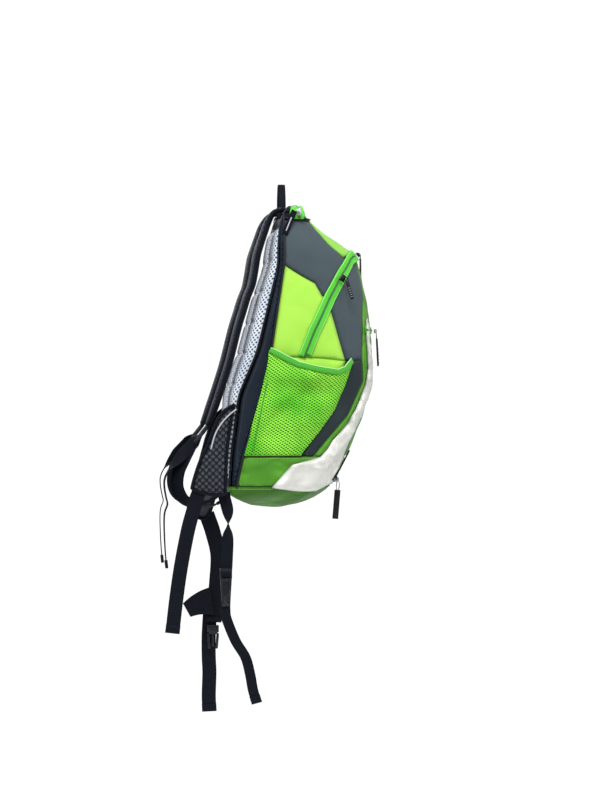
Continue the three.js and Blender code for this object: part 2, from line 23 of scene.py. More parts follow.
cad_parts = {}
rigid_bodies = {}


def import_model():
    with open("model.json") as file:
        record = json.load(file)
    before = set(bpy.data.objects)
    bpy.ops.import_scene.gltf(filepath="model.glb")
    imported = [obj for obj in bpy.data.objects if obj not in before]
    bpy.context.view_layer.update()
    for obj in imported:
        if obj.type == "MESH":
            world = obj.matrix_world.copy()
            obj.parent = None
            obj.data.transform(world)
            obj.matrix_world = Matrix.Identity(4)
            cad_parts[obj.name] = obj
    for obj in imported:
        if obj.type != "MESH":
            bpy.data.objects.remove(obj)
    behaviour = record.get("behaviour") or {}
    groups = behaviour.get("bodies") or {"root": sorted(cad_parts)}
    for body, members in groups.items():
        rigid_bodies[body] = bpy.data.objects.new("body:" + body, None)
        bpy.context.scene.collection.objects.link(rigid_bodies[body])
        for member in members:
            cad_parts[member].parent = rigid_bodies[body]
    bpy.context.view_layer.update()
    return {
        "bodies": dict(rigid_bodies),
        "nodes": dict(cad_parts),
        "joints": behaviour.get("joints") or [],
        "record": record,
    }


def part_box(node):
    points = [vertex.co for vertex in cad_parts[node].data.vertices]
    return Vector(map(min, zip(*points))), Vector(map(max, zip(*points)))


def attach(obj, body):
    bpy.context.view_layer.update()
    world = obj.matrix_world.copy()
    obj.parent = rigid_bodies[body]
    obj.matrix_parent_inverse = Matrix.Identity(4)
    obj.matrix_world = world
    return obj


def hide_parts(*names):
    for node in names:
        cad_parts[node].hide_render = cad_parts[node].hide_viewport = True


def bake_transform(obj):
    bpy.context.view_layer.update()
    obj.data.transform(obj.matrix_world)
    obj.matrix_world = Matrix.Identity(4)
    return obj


LOG = logging.getLogger("daypack")
MM = 0.001
TURN = math.tan(math.radians(4.5))
CLEAR = 8.0  # an edge distance past every seam, for pieces without stitches
Outline = list[tuple[float, float]]
Points = np.ndarray


class Side(Enum):
    """Which side of the wearer a piece is on."""

    LEFT = "left"
    RIGHT = "right"

    @property
    def sign(self) -> float:
        """-1 on the wearer's left, +1 on the right."""
        return -1.0 if self is Side.LEFT else 1.0


class Inner(Enum):
    """What the inside face of a panel shows."""

    LINING = "lining"
    SAME = "same"


# ---------------------------------------------------------------- shader tools


class Graph:
    """Small helper that adds and links shader nodes in one tree."""

    def __init__(self, tree: bpy.types.NodeTree) -> None:
        """Wraps a node tree."""
        self.tree = tree

    def node(self, kind: str, **values: object) -> bpy.types.Node:
        """Adds a node and sets its properties or sockets.

        Args:
            kind: the node's type without the ShaderNode prefix.
            values: properties, or inputs by name with spaces as underscores.

        Returns:
            The new node.
        """
        made = self.tree.nodes.new("ShaderNode" + kind)
        for key, value in values.items():
            if key.startswith("in_"):
                self.feed(made.inputs[int(key[3:])], value)
            elif hasattr(made, key):
                setattr(made, key, value)
            else:
                self.feed(made.inputs[key.replace("_", " ")], value)
        return made

    def feed(self, socket: bpy.types.NodeSocket, value: object) -> None:
        """Links a socket, or sets its default value."""
        if isinstance(value, bpy.types.NodeSocket):
            self.tree.links.new(value, socket)
        else:
            socket.default_value = value

    def math(self, operation: str, *terms: object) -> bpy.types.NodeSocket:
        """One Math node's result."""
        made = self.node("Math", operation=operation)
        for i, term in enumerate(terms):
            self.feed(made.inputs[i], term)
        return made.outputs[0]

    def mix(self, factor: object, a: object, b: object) -> bpy.types.NodeSocket:
        """Colour mix of a and b."""
        made = self.node("Mix", data_type="RGBA")
        for index, term in ((0, factor), (6, a), (7, b)):
            self.feed(made.inputs[index], term)
        return made.outputs[2]

    def group(self, tree: bpy.types.NodeTree, **values: object) -> bpy.types.Node:
        """Places a shared effect and sets its inputs."""
        made = self.tree.nodes.new("ShaderNodeGroup")
        made.node_tree = tree
        for key, value in values.items():
            self.feed(made.inputs[key], value)
        return made


Sockets = bpy.types.bpy_prop_collection


def shared(inputs: str, outputs: str) -> Callable:
    """Makes a builder into a node group that is built at its first use.

    Args:
        inputs: its input names; Vector is a vector and the others are numbers.
        outputs: its output names, all numbers.

    Returns:
        A decorator for builders that take a graph, the inputs and the outputs.
    """
    def wrap(build: Callable) -> Callable[[], bpy.types.NodeTree]:
        """Wraps one builder."""
        @cache
        def made() -> bpy.types.NodeTree:
            """The finished group."""
            tree = bpy.data.node_groups.new(build.__name__, "ShaderNodeTree")
            for way, names in (("INPUT", inputs), ("OUTPUT", outputs)):
                for label in names.split():
                    kind = "Vector" if label == "Vector" else "Float"
                    tree.interface.new_socket(label, in_out=way,
                                              socket_type="NodeSocket" + kind)
            start = tree.nodes.new("NodeGroupInput")
            end = tree.nodes.new("NodeGroupOutput")
            build(Graph(tree), start.outputs, end.inputs)
            return tree
        return made
    return wrap


class Effects:
    """Surface effects that several finishes use."""

    @staticmethod
    @shared("Vector Pitch", "Height")
    def weave(g: Graph, given: Sockets, out: Sockets) -> None:
        """Plain weave: thread height from a surface vector in millimetres."""
        split = g.node("SeparateXYZ", in_0=given["Vector"])
        turn = g.math("DIVIDE", 2 * math.pi, given["Pitch"])
        waves = (g.math("SINE", g.math("MULTIPLY", split.outputs[i], turn)) for i in (0, 1))
        g.feed(out["Height"], g.math("MULTIPLY", *waves))

    @staticmethod
    @shared("Vector Pitch Radius Stretch", "Mask Height")
    def holes(g: Graph, given: Sockets, out: Sockets) -> None:
        """Staggered round openings of a net: mask is 1 inside an opening."""
        split = g.node("SeparateXYZ", in_0=given["Vector"])
        u, v = (g.math("DIVIDE", split.outputs[i], given["Pitch"]) for i in (0, 1))
        v = g.math("DIVIDE", v, given["Stretch"])
        reach = []
        for shift in (0.0, 0.5):
            off = [g.math("SUBTRACT", g.math("FRACT", g.math("ADD", way, shift)), 0.5)
                   for way in (u, v)]
            squares = (g.math("MULTIPLY", d, d) for d in off)
            reach.append(g.math("SQRT", g.math("ADD", *squares)))
        near = g.math("MINIMUM", *reach)
        edge = g.node("MapRange", interpolation_type="SMOOTHSTEP", in_0=near,
                      in_1=g.math("SUBTRACT", given["Radius"], 0.05),
                      in_2=g.math("ADD", given["Radius"], 0.05), in_3=1.0, in_4=0.0)
        g.feed(out["Mask"], edge.outputs[0])
        g.feed(out["Height"], near)

    @staticmethod
    @shared("Edge Run Inset Pitch", "Mask Seam")
    def stitches(g: Graph, given: Sockets, out: Sockets) -> None:
        """A row of stitches at a set distance from the piece's cut edge."""
        off = g.math("ABSOLUTE", g.math("SUBTRACT", given["Edge"], given["Inset"]))
        beat = g.math("FRACT", g.math("DIVIDE", given["Run"], given["Pitch"]))
        g.feed(out["Mask"], g.math("MULTIPLY", g.math("LESS_THAN", off, 0.38),
                                   g.math("LESS_THAN", beat, 0.68)))
        seam = g.node("MapRange", interpolation_type="SMOOTHSTEP", in_0=given["Edge"],
                      in_1=0.0, in_2=2.2, in_3=1.0, in_4=0.0)
        g.feed(out["Seam"], seam.outputs[0])

    @staticmethod
    @shared("Vector Scale", "Value Fine")
    def mottle(g: Graph, given: Sockets, out: Sockets) -> None:
        """Soft unevenness of dye and light wear, 0 to 1, over object coordinates; the nets also
        turn it into painted fold shade.
        """
        for label, times, detail in (("Value", 1.0, 5.0), ("Fine", 6.0, 3.0)):
            noise = g.node("TexNoise", in_0=given["Vector"], Detail=detail,
                           Scale=g.math("MULTIPLY", given["Scale"], times))
            g.feed(out[label], noise.outputs["Fac"])

    @staticmethod
    @shared("Vector Scale", "Height")
    def crumple(g: Graph, given: Sockets, out: Sockets) -> None:
        """Sharp folds of a stiff coated cloth, as a height."""
        warp = g.node("TexNoise", in_0=given["Vector"], Scale=given["Scale"])
        bent = g.node("VectorMath", operation="MULTIPLY_ADD", in_0=warp.outputs["Color"],
                      in_1=(0.02, 0.02, 0.02), in_2=given["Vector"])
        cells = g.node("TexVoronoi", feature="SMOOTH_F1", in_0=bent.outputs[0],
                       Scale=given["Scale"])
        g.feed(out["Height"], cells.outputs["Distance"])


def srgb(red: float, green: float, blue: float) -> tuple:
    """Linear RGBA from 0-255 display values."""
    parts = [c / 255 for c in (red, green, blue)]
    return (*(c / 12.92 if c <= 0.04045 else ((c + 0.055) / 1.055) ** 2.4 for c in parts), 1.0)


@dataclass(frozen=True)
class Finish:
    """What all finishes share: uneven tone and roughness, and a relief."""

    name: str
    tone: tuple
    shade: tuple
    PATCH = 9.0  # scale of the unevenness
    SPREAD = (-0.08, 0.1)  # what it adds to the roughness
    RELIEF = (MM, 0.7)  # depth and strength of the bump

    def make(self) -> bpy.types.Material:
        """Builds the material once and returns it."""
        key = "finish_" + self.name
        if key in bpy.data.materials:
            return bpy.data.materials[key]
        material = bpy.data.materials.new(key)
        material.use_nodes = True
        g = Graph(material.node_tree)
        shader = material.node_tree.nodes["Principled BSDF"].inputs
        place = g.node("TexCoord").outputs["Object"]
        mottle = g.group(Effects.mottle(), Vector=place, Scale=self.PATCH).outputs
        base, height = self.paint(g, shader, place, mottle["Value"], mottle["Fine"])
        g.feed(shader["Base Color"], base)
        low, high = (self.roughness + change for change in self.SPREAD)
        rough = g.node("MapRange", in_0=mottle["Fine"], in_3=low, in_4=high)
        g.feed(shader["Roughness"], rough.outputs[0])
        for socket, value in self.plain().items():
            shader[socket].default_value = value
        depth, strength = self.RELIEF
        bump = g.node("Bump", Height=height, Distance=depth, Strength=strength)
        g.feed(shader["Normal"], bump.outputs[0])
        return material

    def paint(self, g: Graph, shader: Sockets, place: bpy.types.NodeSocket,
              value: bpy.types.NodeSocket, fine: bpy.types.NodeSocket) -> tuple:
        """Lays out the tone and the height.

        Args:
            g: the material's nodes.
            shader: the shader's inputs.
            place: object coordinates.
            value: broad unevenness.
            fine: fine unevenness.

        Returns:
            The colour and the height sockets.
        """
        raise NotImplementedError

    def plain(self) -> dict[str, float]:
        """Shader values that are the same all over."""
        raise NotImplementedError


def darker(colour: tuple, level: float) -> tuple:
    """The colour at a part of its brightness."""
    return tuple(c * level for c in colour[:3]) + (1.0,)


@dataclass(frozen=True)
class Cloth(Finish):
    """Coated or woven fabric, stitched along its cut edges, with painted shade in its creases."""

    stitch: tuple | None = None
    pitch: float = 0.9
    roughness: float = 0.62
    sheen: float = 0.15
    # crumple sets the fold relief and also how much painted shade lies in the creases
    crumple: float = 0.25
    crumple_scale: float = 18.0
    metallic: float = 0.0
    inset: float = 2.6
    gloss: float = 0.2

    def paint(self, g: Graph, shader: Sockets, place: bpy.types.NodeSocket,
              value: bpy.types.NodeSocket, fine: bpy.types.NodeSocket) -> tuple:
        """Weave, crumple relief with painted shade in its creases, and stitches along a dark
        seam; see Finish.paint.
        """
        surface = g.node("UVMap", uv_map="cloth").outputs[0]
        base = g.mix(value, self.shade, self.tone)
        base = g.mix(g.math("MULTIPLY", fine, 0.25), base, self.shade)
        folds = g.group(Effects.crumple(), Vector=place, Scale=self.crumple_scale).outputs[0]
        # painted shade: the crumple's creases are darkened in colour
        painted_crease_shade = g.node("MapRange", in_0=folds, in_1=0.1, in_2=0.55, in_3=0.0,
                        in_4=min(0.6, self.crumple * 0.3))
        base = g.mix(painted_crease_shade.outputs[0], base, darker(self.shade, 0.62))
        edge, run = (g.node("Attribute", attribute_name=n).outputs["Fac"]
                     for n in ("edge", "run"))
        row = g.group(Effects.stitches(), Edge=edge, Run=run, Inset=self.inset,
                      Pitch=3.2).outputs
        base = g.mix(g.math("MULTIPLY", row["Seam"], 0.7), base, darker(self.shade, 0.45))
        if self.stitch:
            base = g.mix(g.math("MULTIPLY", row["Mask"], 0.8), base, self.stitch)
        weave = g.group(Effects.weave(), Vector=surface, Pitch=self.pitch)
        height = g.math("ADD", g.math("MULTIPLY", weave.outputs[0], 0.08),
                        g.math("MULTIPLY", folds, self.crumple * 10))
        return base, g.math("ADD", height, g.math("MULTIPLY", row["Mask"], 0.5))

    def plain(self) -> dict[str, float]:
        """Shader values that are the same all over."""
        return {"Metallic": self.metallic, "Specular IOR Level": self.gloss,
                "Sheen Weight": self.sheen, "Sheen Roughness": 0.4}


@dataclass(frozen=True)
class Net(Finish):
    """Knitted net in broad patches of painted fold shade, with real openings, or with openings
    painted for the light and shade seen through them over a backing.
    """

    pitch: float = 3.8
    radius: float = 0.3
    stretch: float = 1.2
    # a flat colour painted in the openings for the light and shade seen through them
    hole_light_and_shade: tuple | None = None
    clear: float = 0.0
    roughness: float = 0.6
    PATCH = 14.0
    SPREAD = (-0.1, 0.1)
    RELIEF = (MM, 0.8)

    def paint(self, g: Graph, shader: Sockets, place: bpy.types.NodeSocket,
              value: bpy.types.NodeSocket, fine: bpy.types.NodeSocket) -> tuple:
        """Threads in broad patches of painted fold shade, and openings; see Finish.paint."""
        surface = g.node("UVMap", uv_map="cloth").outputs[0]
        hole = g.group(Effects.holes(), Vector=surface, Pitch=self.pitch, Radius=self.radius,
                       Stretch=self.stretch).outputs
        # painted shade: broad lighter and darker patches that stand in for the shading of folds
        painted_fold_shade = g.node("MapRange", in_0=value, in_1=0.36, in_2=0.64)
        base = g.mix(painted_fold_shade.outputs[0], self.shade, self.tone)
        # painted light and shade: the openings take a flat colour for what is seen through them
        if self.hole_light_and_shade:
            base = g.mix(hole["Mask"], base, self.hole_light_and_shade)
        if self.clear:
            gap = g.math("MULTIPLY", hole["Mask"], self.clear)
            g.feed(shader["Alpha"], g.math("SUBTRACT", 1.0, gap))
        twist = g.group(Effects.weave(), Vector=surface, Pitch=self.pitch / 5)
        return base, g.math("ADD", g.math("MULTIPLY", hole["Height"], 2.0),
                            g.math("MULTIPLY", twist.outputs[0], 0.12))

    def plain(self) -> dict[str, float]:
        """Shader values that are the same all over."""
        return {"Specular IOR Level": 0.2}


@dataclass(frozen=True)
class Webbing(Finish):
    """Ribbed narrow webbing or zip tape, with a lighter line near each edge of a tape."""

    rib: float = 1.6
    line: tuple | None = None
    half: float = 10.0
    roughness: float = 0.7
    PATCH = 22.0
    SPREAD = (-0.1, 0.12)
    RELIEF = (0.15 * MM, 0.6)

    def paint(self, g: Graph, shader: Sockets, place: bpy.types.NodeSocket,
              value: bpy.types.NodeSocket, fine: bpy.types.NodeSocket) -> tuple:
        """Ribs that run along the band; see Finish.paint."""
        surface = g.node("UVMap", uv_map="cloth").outputs[0]
        base = g.mix(value, self.shade, self.tone)
        if self.line:
            across = g.math("ABSOLUTE", g.node("SeparateXYZ", in_0=surface).outputs[0])
            off = g.math("ABSOLUTE", g.math("SUBTRACT", across, self.half))
            spot = g.math("MULTIPLY", g.math("LESS_THAN", off, 0.5), 0.8)
            base = g.mix(spot, base, self.line)
        return base, g.group(Effects.weave(), Vector=surface, Pitch=self.rib).outputs[0]

    def plain(self) -> dict[str, float]:
        """Shader values that are the same all over."""
        return {"Specular IOR Level": 0.12}


@dataclass(frozen=True)
class Moulded(Finish):
    """Moulded plastic, rubber, film or cast metal; `shade` is its rubbed places."""

    metallic: float = 0.0
    roughness: float = 0.42
    alpha: float = 1.0
    coat: float = 0.0
    PATCH = 260.0 / 3
    SPREAD = (-0.08, 0.12)
    RELIEF = (0.1 * MM, 0.5)

    def paint(self, g: Graph, shader: Sockets, place: bpy.types.NodeSocket,
              value: bpy.types.NodeSocket, fine: bpy.types.NodeSocket) -> tuple:
        """Rubbed places and a fine grain; see Finish.paint."""
        rub = g.node("MapRange", in_0=value, in_1=0.55, in_2=0.8, in_3=0.0, in_4=0.5)
        return g.mix(rub.outputs[0], self.tone, self.shade), fine

    def plain(self) -> dict[str, float]:
        """Shader values that are the same all over."""
        return {"Metallic": self.metallic, "Alpha": self.alpha, "Coat Weight": self.coat,
                "Specular IOR Level": 0.35}


LIME = Cloth("cloth_lime", srgb(194, 242, 100), srgb(160, 226, 70), srgb(140, 204, 66),
            crumple=0.35, crumple_scale=16.0)
LIME_TOP = Cloth("cloth_lime_top", srgb(156, 218, 92), srgb(130, 194, 72), srgb(120, 180, 70))
GREEN = Cloth("cloth_green", srgb(100, 176, 48), srgb(66, 130, 34), srgb(130, 196, 84),
              crumple=1.5, crumple_scale=34.0)
# The green fabric again, painted darker for the shade on the bottom.
GREEN_PAINTED_SHADE = Cloth("cloth_green_painted_shade", srgb(76, 140, 36), srgb(54, 104, 26), srgb(120, 180, 74),
                  crumple=1.7, crumple_scale=30.0)
SLATE = Cloth("cloth_slate", srgb(78, 92, 98), srgb(66, 78, 84), srgb(52, 62, 66),
              sheen=0.05, crumple=0.6, crumple_scale=9.0)
SLATE_DARK = Cloth("cloth_slate_dark", srgb(50, 64, 68), srgb(28, 40, 44), srgb(60, 74, 76),
                   crumple=1.2, crumple_scale=16.0, sheen=0.03)
BLACK = Cloth("cloth_black", srgb(32, 42, 54), srgb(20, 28, 40), srgb(52, 64, 78),
              crumple=0.45, sheen=0.02, gloss=0.12)
CAP_BLACK = Cloth("cloth_black_cap", srgb(20, 26, 38), srgb(12, 16, 26), None, sheen=0.02,
                  gloss=0.12)
SILVER = Cloth("cloth_reflective", srgb(255, 255, 250), srgb(236, 237, 230), None,
               roughness=0.34, sheen=0.0, crumple=1.6, crumple_scale=34.0, metallic=0.3,
               gloss=0.4)
LINING = Cloth("cloth_lining", srgb(122, 130, 136), srgb(98, 106, 112), None, pitch=1.4)
ZIP_CLOTH = Cloth("zip_cloth", srgb(112, 222, 78), srgb(80, 192, 54), srgb(160, 236, 130),
                  pitch=1.0, inset=1.6)
HEM = Cloth("binding_green", srgb(92, 196, 66), srgb(62, 160, 44), None, pitch=1.2)
SPACER = Net("spacer_mesh", srgb(222, 230, 240), srgb(196, 206, 220), pitch=7.0, radius=0.22,
             stretch=1.0, hole_light_and_shade=srgb(64, 72, 88))
# Its darker green is painted fold shade in broad patches; its openings are painted shade.
POCKET_NET = Net("pocket_net", srgb(160, 248, 74), srgb(92, 204, 36), pitch=4.2, radius=0.24,
                 stretch=1.0, hole_light_and_shade=srgb(52, 128, 24), clear=0.4)
WING_NET = Net("wing_net", srgb(22, 26, 36), srgb(12, 14, 22), pitch=10.0, radius=0.3,
               stretch=1.0, clear=1.0)
# Its light grey is painted light seen through the wing net's openings.
WING_FOAM_PAINTED_LIGHT = Cloth("wing_foam_painted_light", srgb(122, 128, 138), srgb(48, 54, 64), None, crumple=0.5,
                  sheen=0.0)
STRAP_NET = Net("strap_net", srgb(22, 28, 38), srgb(12, 16, 24), pitch=6.0, radius=0.24,
                stretch=1.0, hole_light_and_shade=srgb(60, 66, 76))
RIB_NET = Net("rib_net", srgb(92, 92, 100), srgb(60, 60, 68), pitch=4.0, radius=0.22,
              stretch=0.7, hole_light_and_shade=srgb(26, 26, 32))
STRAP_WEB = Webbing("webbing_black", srgb(14, 19, 30), srgb(6, 9, 17))
BINDING = Webbing("binding_black", srgb(16, 21, 32), srgb(8, 11, 20), rib=1.0)
ZIP_TAPE = Webbing("zip_tape_green", srgb(110, 220, 78), srgb(78, 192, 54), rib=0.9,
                   line=srgb(176, 244, 140), half=8.2)
ZIP_DARK = Webbing("zip_tape_dark", srgb(18, 22, 32), srgb(10, 12, 20), rib=0.9)
COIL = Moulded("zip_coil", srgb(72, 104, 74), srgb(120, 150, 116), roughness=0.35)
COIL_DARK = Moulded("zip_coil_dark", srgb(16, 18, 22), srgb(50, 52, 56), roughness=0.35)
HEM_EDGE = Moulded("hem_edge", srgb(176, 236, 150), srgb(214, 246, 196), roughness=0.6)
DART = Moulded("pocket_dart", srgb(60, 150, 34), srgb(84, 176, 50), roughness=0.6)
PIPING_DARK = Moulded("piping_dark", srgb(14, 18, 28), srgb(30, 36, 48), roughness=0.55)
PIPING_GREY = Moulded("piping_reflective", srgb(190, 196, 200), srgb(226, 230, 230),
                      roughness=0.35, metallic=0.2)
DIE_CAST = Moulded("slider_metal", srgb(196, 198, 200), srgb(232, 233, 234), metallic=0.9,
                   roughness=0.3)
BLACK_CAST = Moulded("slider_black", srgb(22, 24, 28), srgb(84, 86, 92), metallic=0.6,
                     roughness=0.4)
ACETAL = Moulded("acetal_black", srgb(20, 22, 30), srgb(86, 88, 98), roughness=0.36)
RUBBER = Moulded("pull_rubber", srgb(12, 13, 18), srgb(34, 36, 42), roughness=0.55)
PRINT = Moulded("pull_stripe", srgb(130, 136, 142), srgb(170, 176, 180), roughness=0.5)
FILM = Moulded("reservoir_film", srgb(186, 214, 232), srgb(214, 232, 242), roughness=0.16,
               alpha=0.72, coat=0.4)
PORT = Moulded("port_grey", srgb(150, 154, 160), srgb(186, 190, 194), roughness=0.4)
SHEET = Moulded("frame_sheet", srgb(214, 214, 208), srgb(232, 232, 226), roughness=0.5)


# ---------------------------------------------------------------- mesh tools


def rounded(points: Sequence[Sequence[float]], step: float) -> Points:
    """Catmull-Rom curve through the points, sampled about every `step`."""
    p = np.array(points, float)
    p = np.vstack([2 * p[0] - p[1], p, 2 * p[-1] - p[-2]])
    out = []
    for i in range(1, len(p) - 2):
        count = max(1, int(round(np.linalg.norm(p[i + 1] - p[i]) / step)))
        t = (np.arange(count) / count)[:, None]
        a, b, c, d = p[i - 1], p[i], p[i + 1], p[i + 2]
        out.append(0.5 * (2 * b + (c - a) * t + (2 * a - 5 * b + 4 * c - d) * t ** 2
                          + (3 * b - a - 3 * c + d) * t ** 3))
    out.append(p[-2][None])
    return np.vstack(out)


def dense(points: Sequence[Sequence[float]], step: float) -> Points:
    """Straight polyline resampled about every `step`, corners kept."""
    p = np.array(points, float)
    out = [p[:1]]
    for a, b in zip(p[:-1], p[1:]):
        count = max(1, int(round(np.linalg.norm(b - a) / step)))
        t = (np.arange(1, count + 1) / count)[:, None]
        out.append(a + (b - a) * t)
    return np.vstack(out)


def ripple(points: Points, scale: float, seed: int) -> Points:
    """Smooth unevenness, about -1 to 1, that depends only on place."""
    rng = np.random.default_rng(seed)
    total = np.zeros(len(points))
    for k in range(6):
        way = rng.normal(size=3)
        way *= 2 * math.pi / (scale * (0.6 + 0.25 * k)) / np.linalg.norm(way)
        total += np.sin(points @ way + rng.uniform(0, 6.28))
    return total / 3.2


def unit(vectors: Points) -> Points:
    """The vectors at length one."""
    return vectors / np.linalg.norm(vectors, axis=-1, keepdims=True)


def at_x(x: float | Points, points: Points) -> Points:
    """Points [x, y, z] from x and points [y, z]."""
    return np.column_stack([np.broadcast_to(x, len(points)), points])


def lengths(path: Points) -> Points:
    """Distance along a path at each of its points."""
    return np.concatenate([[0], np.cumsum(np.linalg.norm(np.diff(path, axis=0), axis=1))])


def mesh_object(name: str, points: Points, faces: Sequence[Sequence[int]],
                materials: Sequence[bpy.types.Material], slots: Sequence[int] | None = None,
                uv: Points | None = None, **attributes: Points) -> bpy.types.Object:
    """Makes a mesh object from points in millimetres.

    Args:
        name: object name.
        points: vertex places, N x 3.
        faces: vertex indices of each face.
        materials: the material slots.
        slots: material index of each face.
        uv: surface coordinates of each vertex, in millimetres.
        attributes: one number per vertex, by attribute name.

    Returns:
        The linked object.
    """
    mesh = bpy.data.meshes.new(name)
    mesh.from_pydata((points * MM).tolist(), [], [list(map(int, f)) for f in faces])
    for material in materials:
        mesh.materials.append(material)
    if slots is not None:
        mesh.polygons.foreach_set("material_index", np.array(slots, np.int32))
    if uv is not None:
        layer = mesh.uv_layers.new(name="cloth")
        corner = np.empty(len(mesh.loops), np.int32)
        mesh.loops.foreach_get("vertex_index", corner)
        layer.data.foreach_set("uv", np.asarray(uv, np.float32)[corner].ravel())
    for key, values in attributes.items():
        made = mesh.attributes.new(key, "FLOAT", "POINT")
        made.data.foreach_set("value", np.asarray(values, np.float32))
    mesh.polygons.foreach_set("use_smooth", np.full(len(mesh.polygons), True))
    mesh.validate()
    mesh.update()
    made_object = bpy.data.objects.new(name, mesh)
    bpy.context.collection.objects.link(made_object)
    return made_object


def grid_faces(rows: int, cols: int, close: bool = False) -> list[tuple[int, ...]]:
    """Quads of a rows x cols grid of vertices; `close` joins the last column to the first."""
    wide = cols if close else cols - 1
    return [(i * cols + j, i * cols + (j + 1) % cols, (i + 1) * cols + (j + 1) % cols,
             (i + 1) * cols + j) for i in range(rows - 1) for j in range(wide)]


def grid_rim(rows: int, cols: int) -> list[int]:
    """The loop round the edge of a rows x cols grid of vertices."""
    rim = list(range(cols)) + [i * cols + cols - 1 for i in range(1, rows)]
    rim += [(rows - 1) * cols + j for j in range(cols - 2, -1, -1)]
    return rim + [i * cols for i in range(rows - 2, 0, -1)]


def outward(obj: bpy.types.Object) -> bpy.types.Object:
    """Recalculates the normals of a closed mesh to point outwards."""
    bm = bmesh.new()
    bm.from_mesh(obj.data)
    bmesh.ops.recalc_face_normals(bm, faces=bm.faces)
    bm.to_mesh(obj.data)
    bm.free()
    return obj


def thick_sheet(name: str, outer: Points, inner: Points, faces: Sequence[Sequence[int]],
                rim: Sequence[int], materials: Sequence[bpy.types.Material], uv: Points,
                **attributes: Points) -> bpy.types.Object:
    """Closed sheet from matching outer and inner points and the loop round its edge."""
    n = len(outer)
    all_faces = [tuple(f) for f in faces] + [tuple(n + i for i in reversed(f)) for f in faces]
    slots = [0] * len(faces) + [len(materials) - 1] * len(faces)
    for a, b in zip(rim, list(rim[1:]) + [rim[0]]):
        all_faces.append((b, a, n + a, n + b))
        slots.append(0)
    doubled = {k: np.concatenate([v, v]) for k, v in attributes.items()}
    made = mesh_object(name, np.vstack([outer, inner]), all_faces, materials, slots,
                       np.vstack([uv, uv]), **doubled)
    return outward(made)


def sweep(name: str, path: Points, across: Points, width: Points | float,
          thick: Points | float, material: bpy.types.Material,
          sides: int = 6) -> bpy.types.Object:
    """Band with softly rounded edges along a path.

    Args:
        name: object name.
        path: points along the band's middle.
        across: direction of the width at each point, or one for all.
        width: width at each point, or one for all.
        thick: thickness at each point, or one for all.
        material: its finish.
        sides: points across each broad face.

    Returns:
        The band, closed at both ends.
    """
    n = len(path)
    along = unit(np.gradient(path, axis=0))
    a = np.broadcast_to(np.array(across, float), (n, 3))
    a = unit(a - along * np.sum(a * along, axis=1)[:, None])
    b = np.cross(along, a)
    w = np.broadcast_to(np.array(width, float), (n,)) / 2
    t = np.broadcast_to(np.array(thick, float), (n,)) / 2
    u = np.sin(np.linspace(-math.pi / 2, math.pi / 2, sides + 1))
    fat = (1 - np.abs(u) ** 8) ** 0.5 * 0.75 + 0.25
    ring = list(zip(u, fat)) + list(zip(u[::-1], -fat[::-1]))
    length = lengths(path)
    pts = [path + a * (w * x)[:, None] + b * (t * f)[:, None] for x, f in ring]
    uv = [np.stack([w * x, length], axis=1) for x, _ in ring]
    k = len(ring)
    points = np.stack(pts, axis=1).reshape(-1, 3)
    coords = np.stack(uv, axis=1).reshape(-1, 2)
    faces = grid_faces(n, k, close=True)
    faces += [tuple(range(k)), tuple(range((n - 1) * k, n * k))]
    made = mesh_object(name, points, faces, [material], None, coords,
                       edge=np.full(len(points), CLEAR), run=coords[:, 1])
    return outward(made)


def cord_tube(name: str, path: Points, radius: float, material: bpy.types.Material,
              sides: int = 8) -> bpy.types.Object:
    """Round tube along a path, for piping, coils and cords."""
    along = unit(np.gradient(path, axis=0))
    side = unit(np.cross(along, np.array([0.31, 0.2, 0.93])))
    up = np.cross(along, side)
    turns = np.linspace(0, 2 * math.pi, sides, endpoint=False)
    rings = [path + radius * (math.cos(t) * side + math.sin(t) * up) for t in turns]
    points = np.stack(rings, axis=1).reshape(-1, 3)
    uv = np.stack([np.tile(turns * radius, len(path)), np.repeat(lengths(path), sides)],
                  axis=1)
    faces = grid_faces(len(path), sides, close=True)
    faces += [tuple(range(sides)), tuple(range(len(points) - sides, len(points)))]
    return outward(mesh_object(name, points, faces, [material], None, uv))


def join(name: str, pieces: Sequence[bpy.types.Object]) -> bpy.types.Object:
    """Joins pieces into one object with that name."""
    bpy.ops.object.select_all(action="DESELECT")
    for piece in pieces:
        piece.select_set(True)
    bpy.context.view_layer.objects.active = pieces[0]
    if len(pieces) > 1:
        bpy.ops.object.join()
    made = bpy.context.view_layer.objects.active
    made.name = made.data.name = name
    made.select_set(False)
    return made


# ---------------------------------------------------------------- pack body


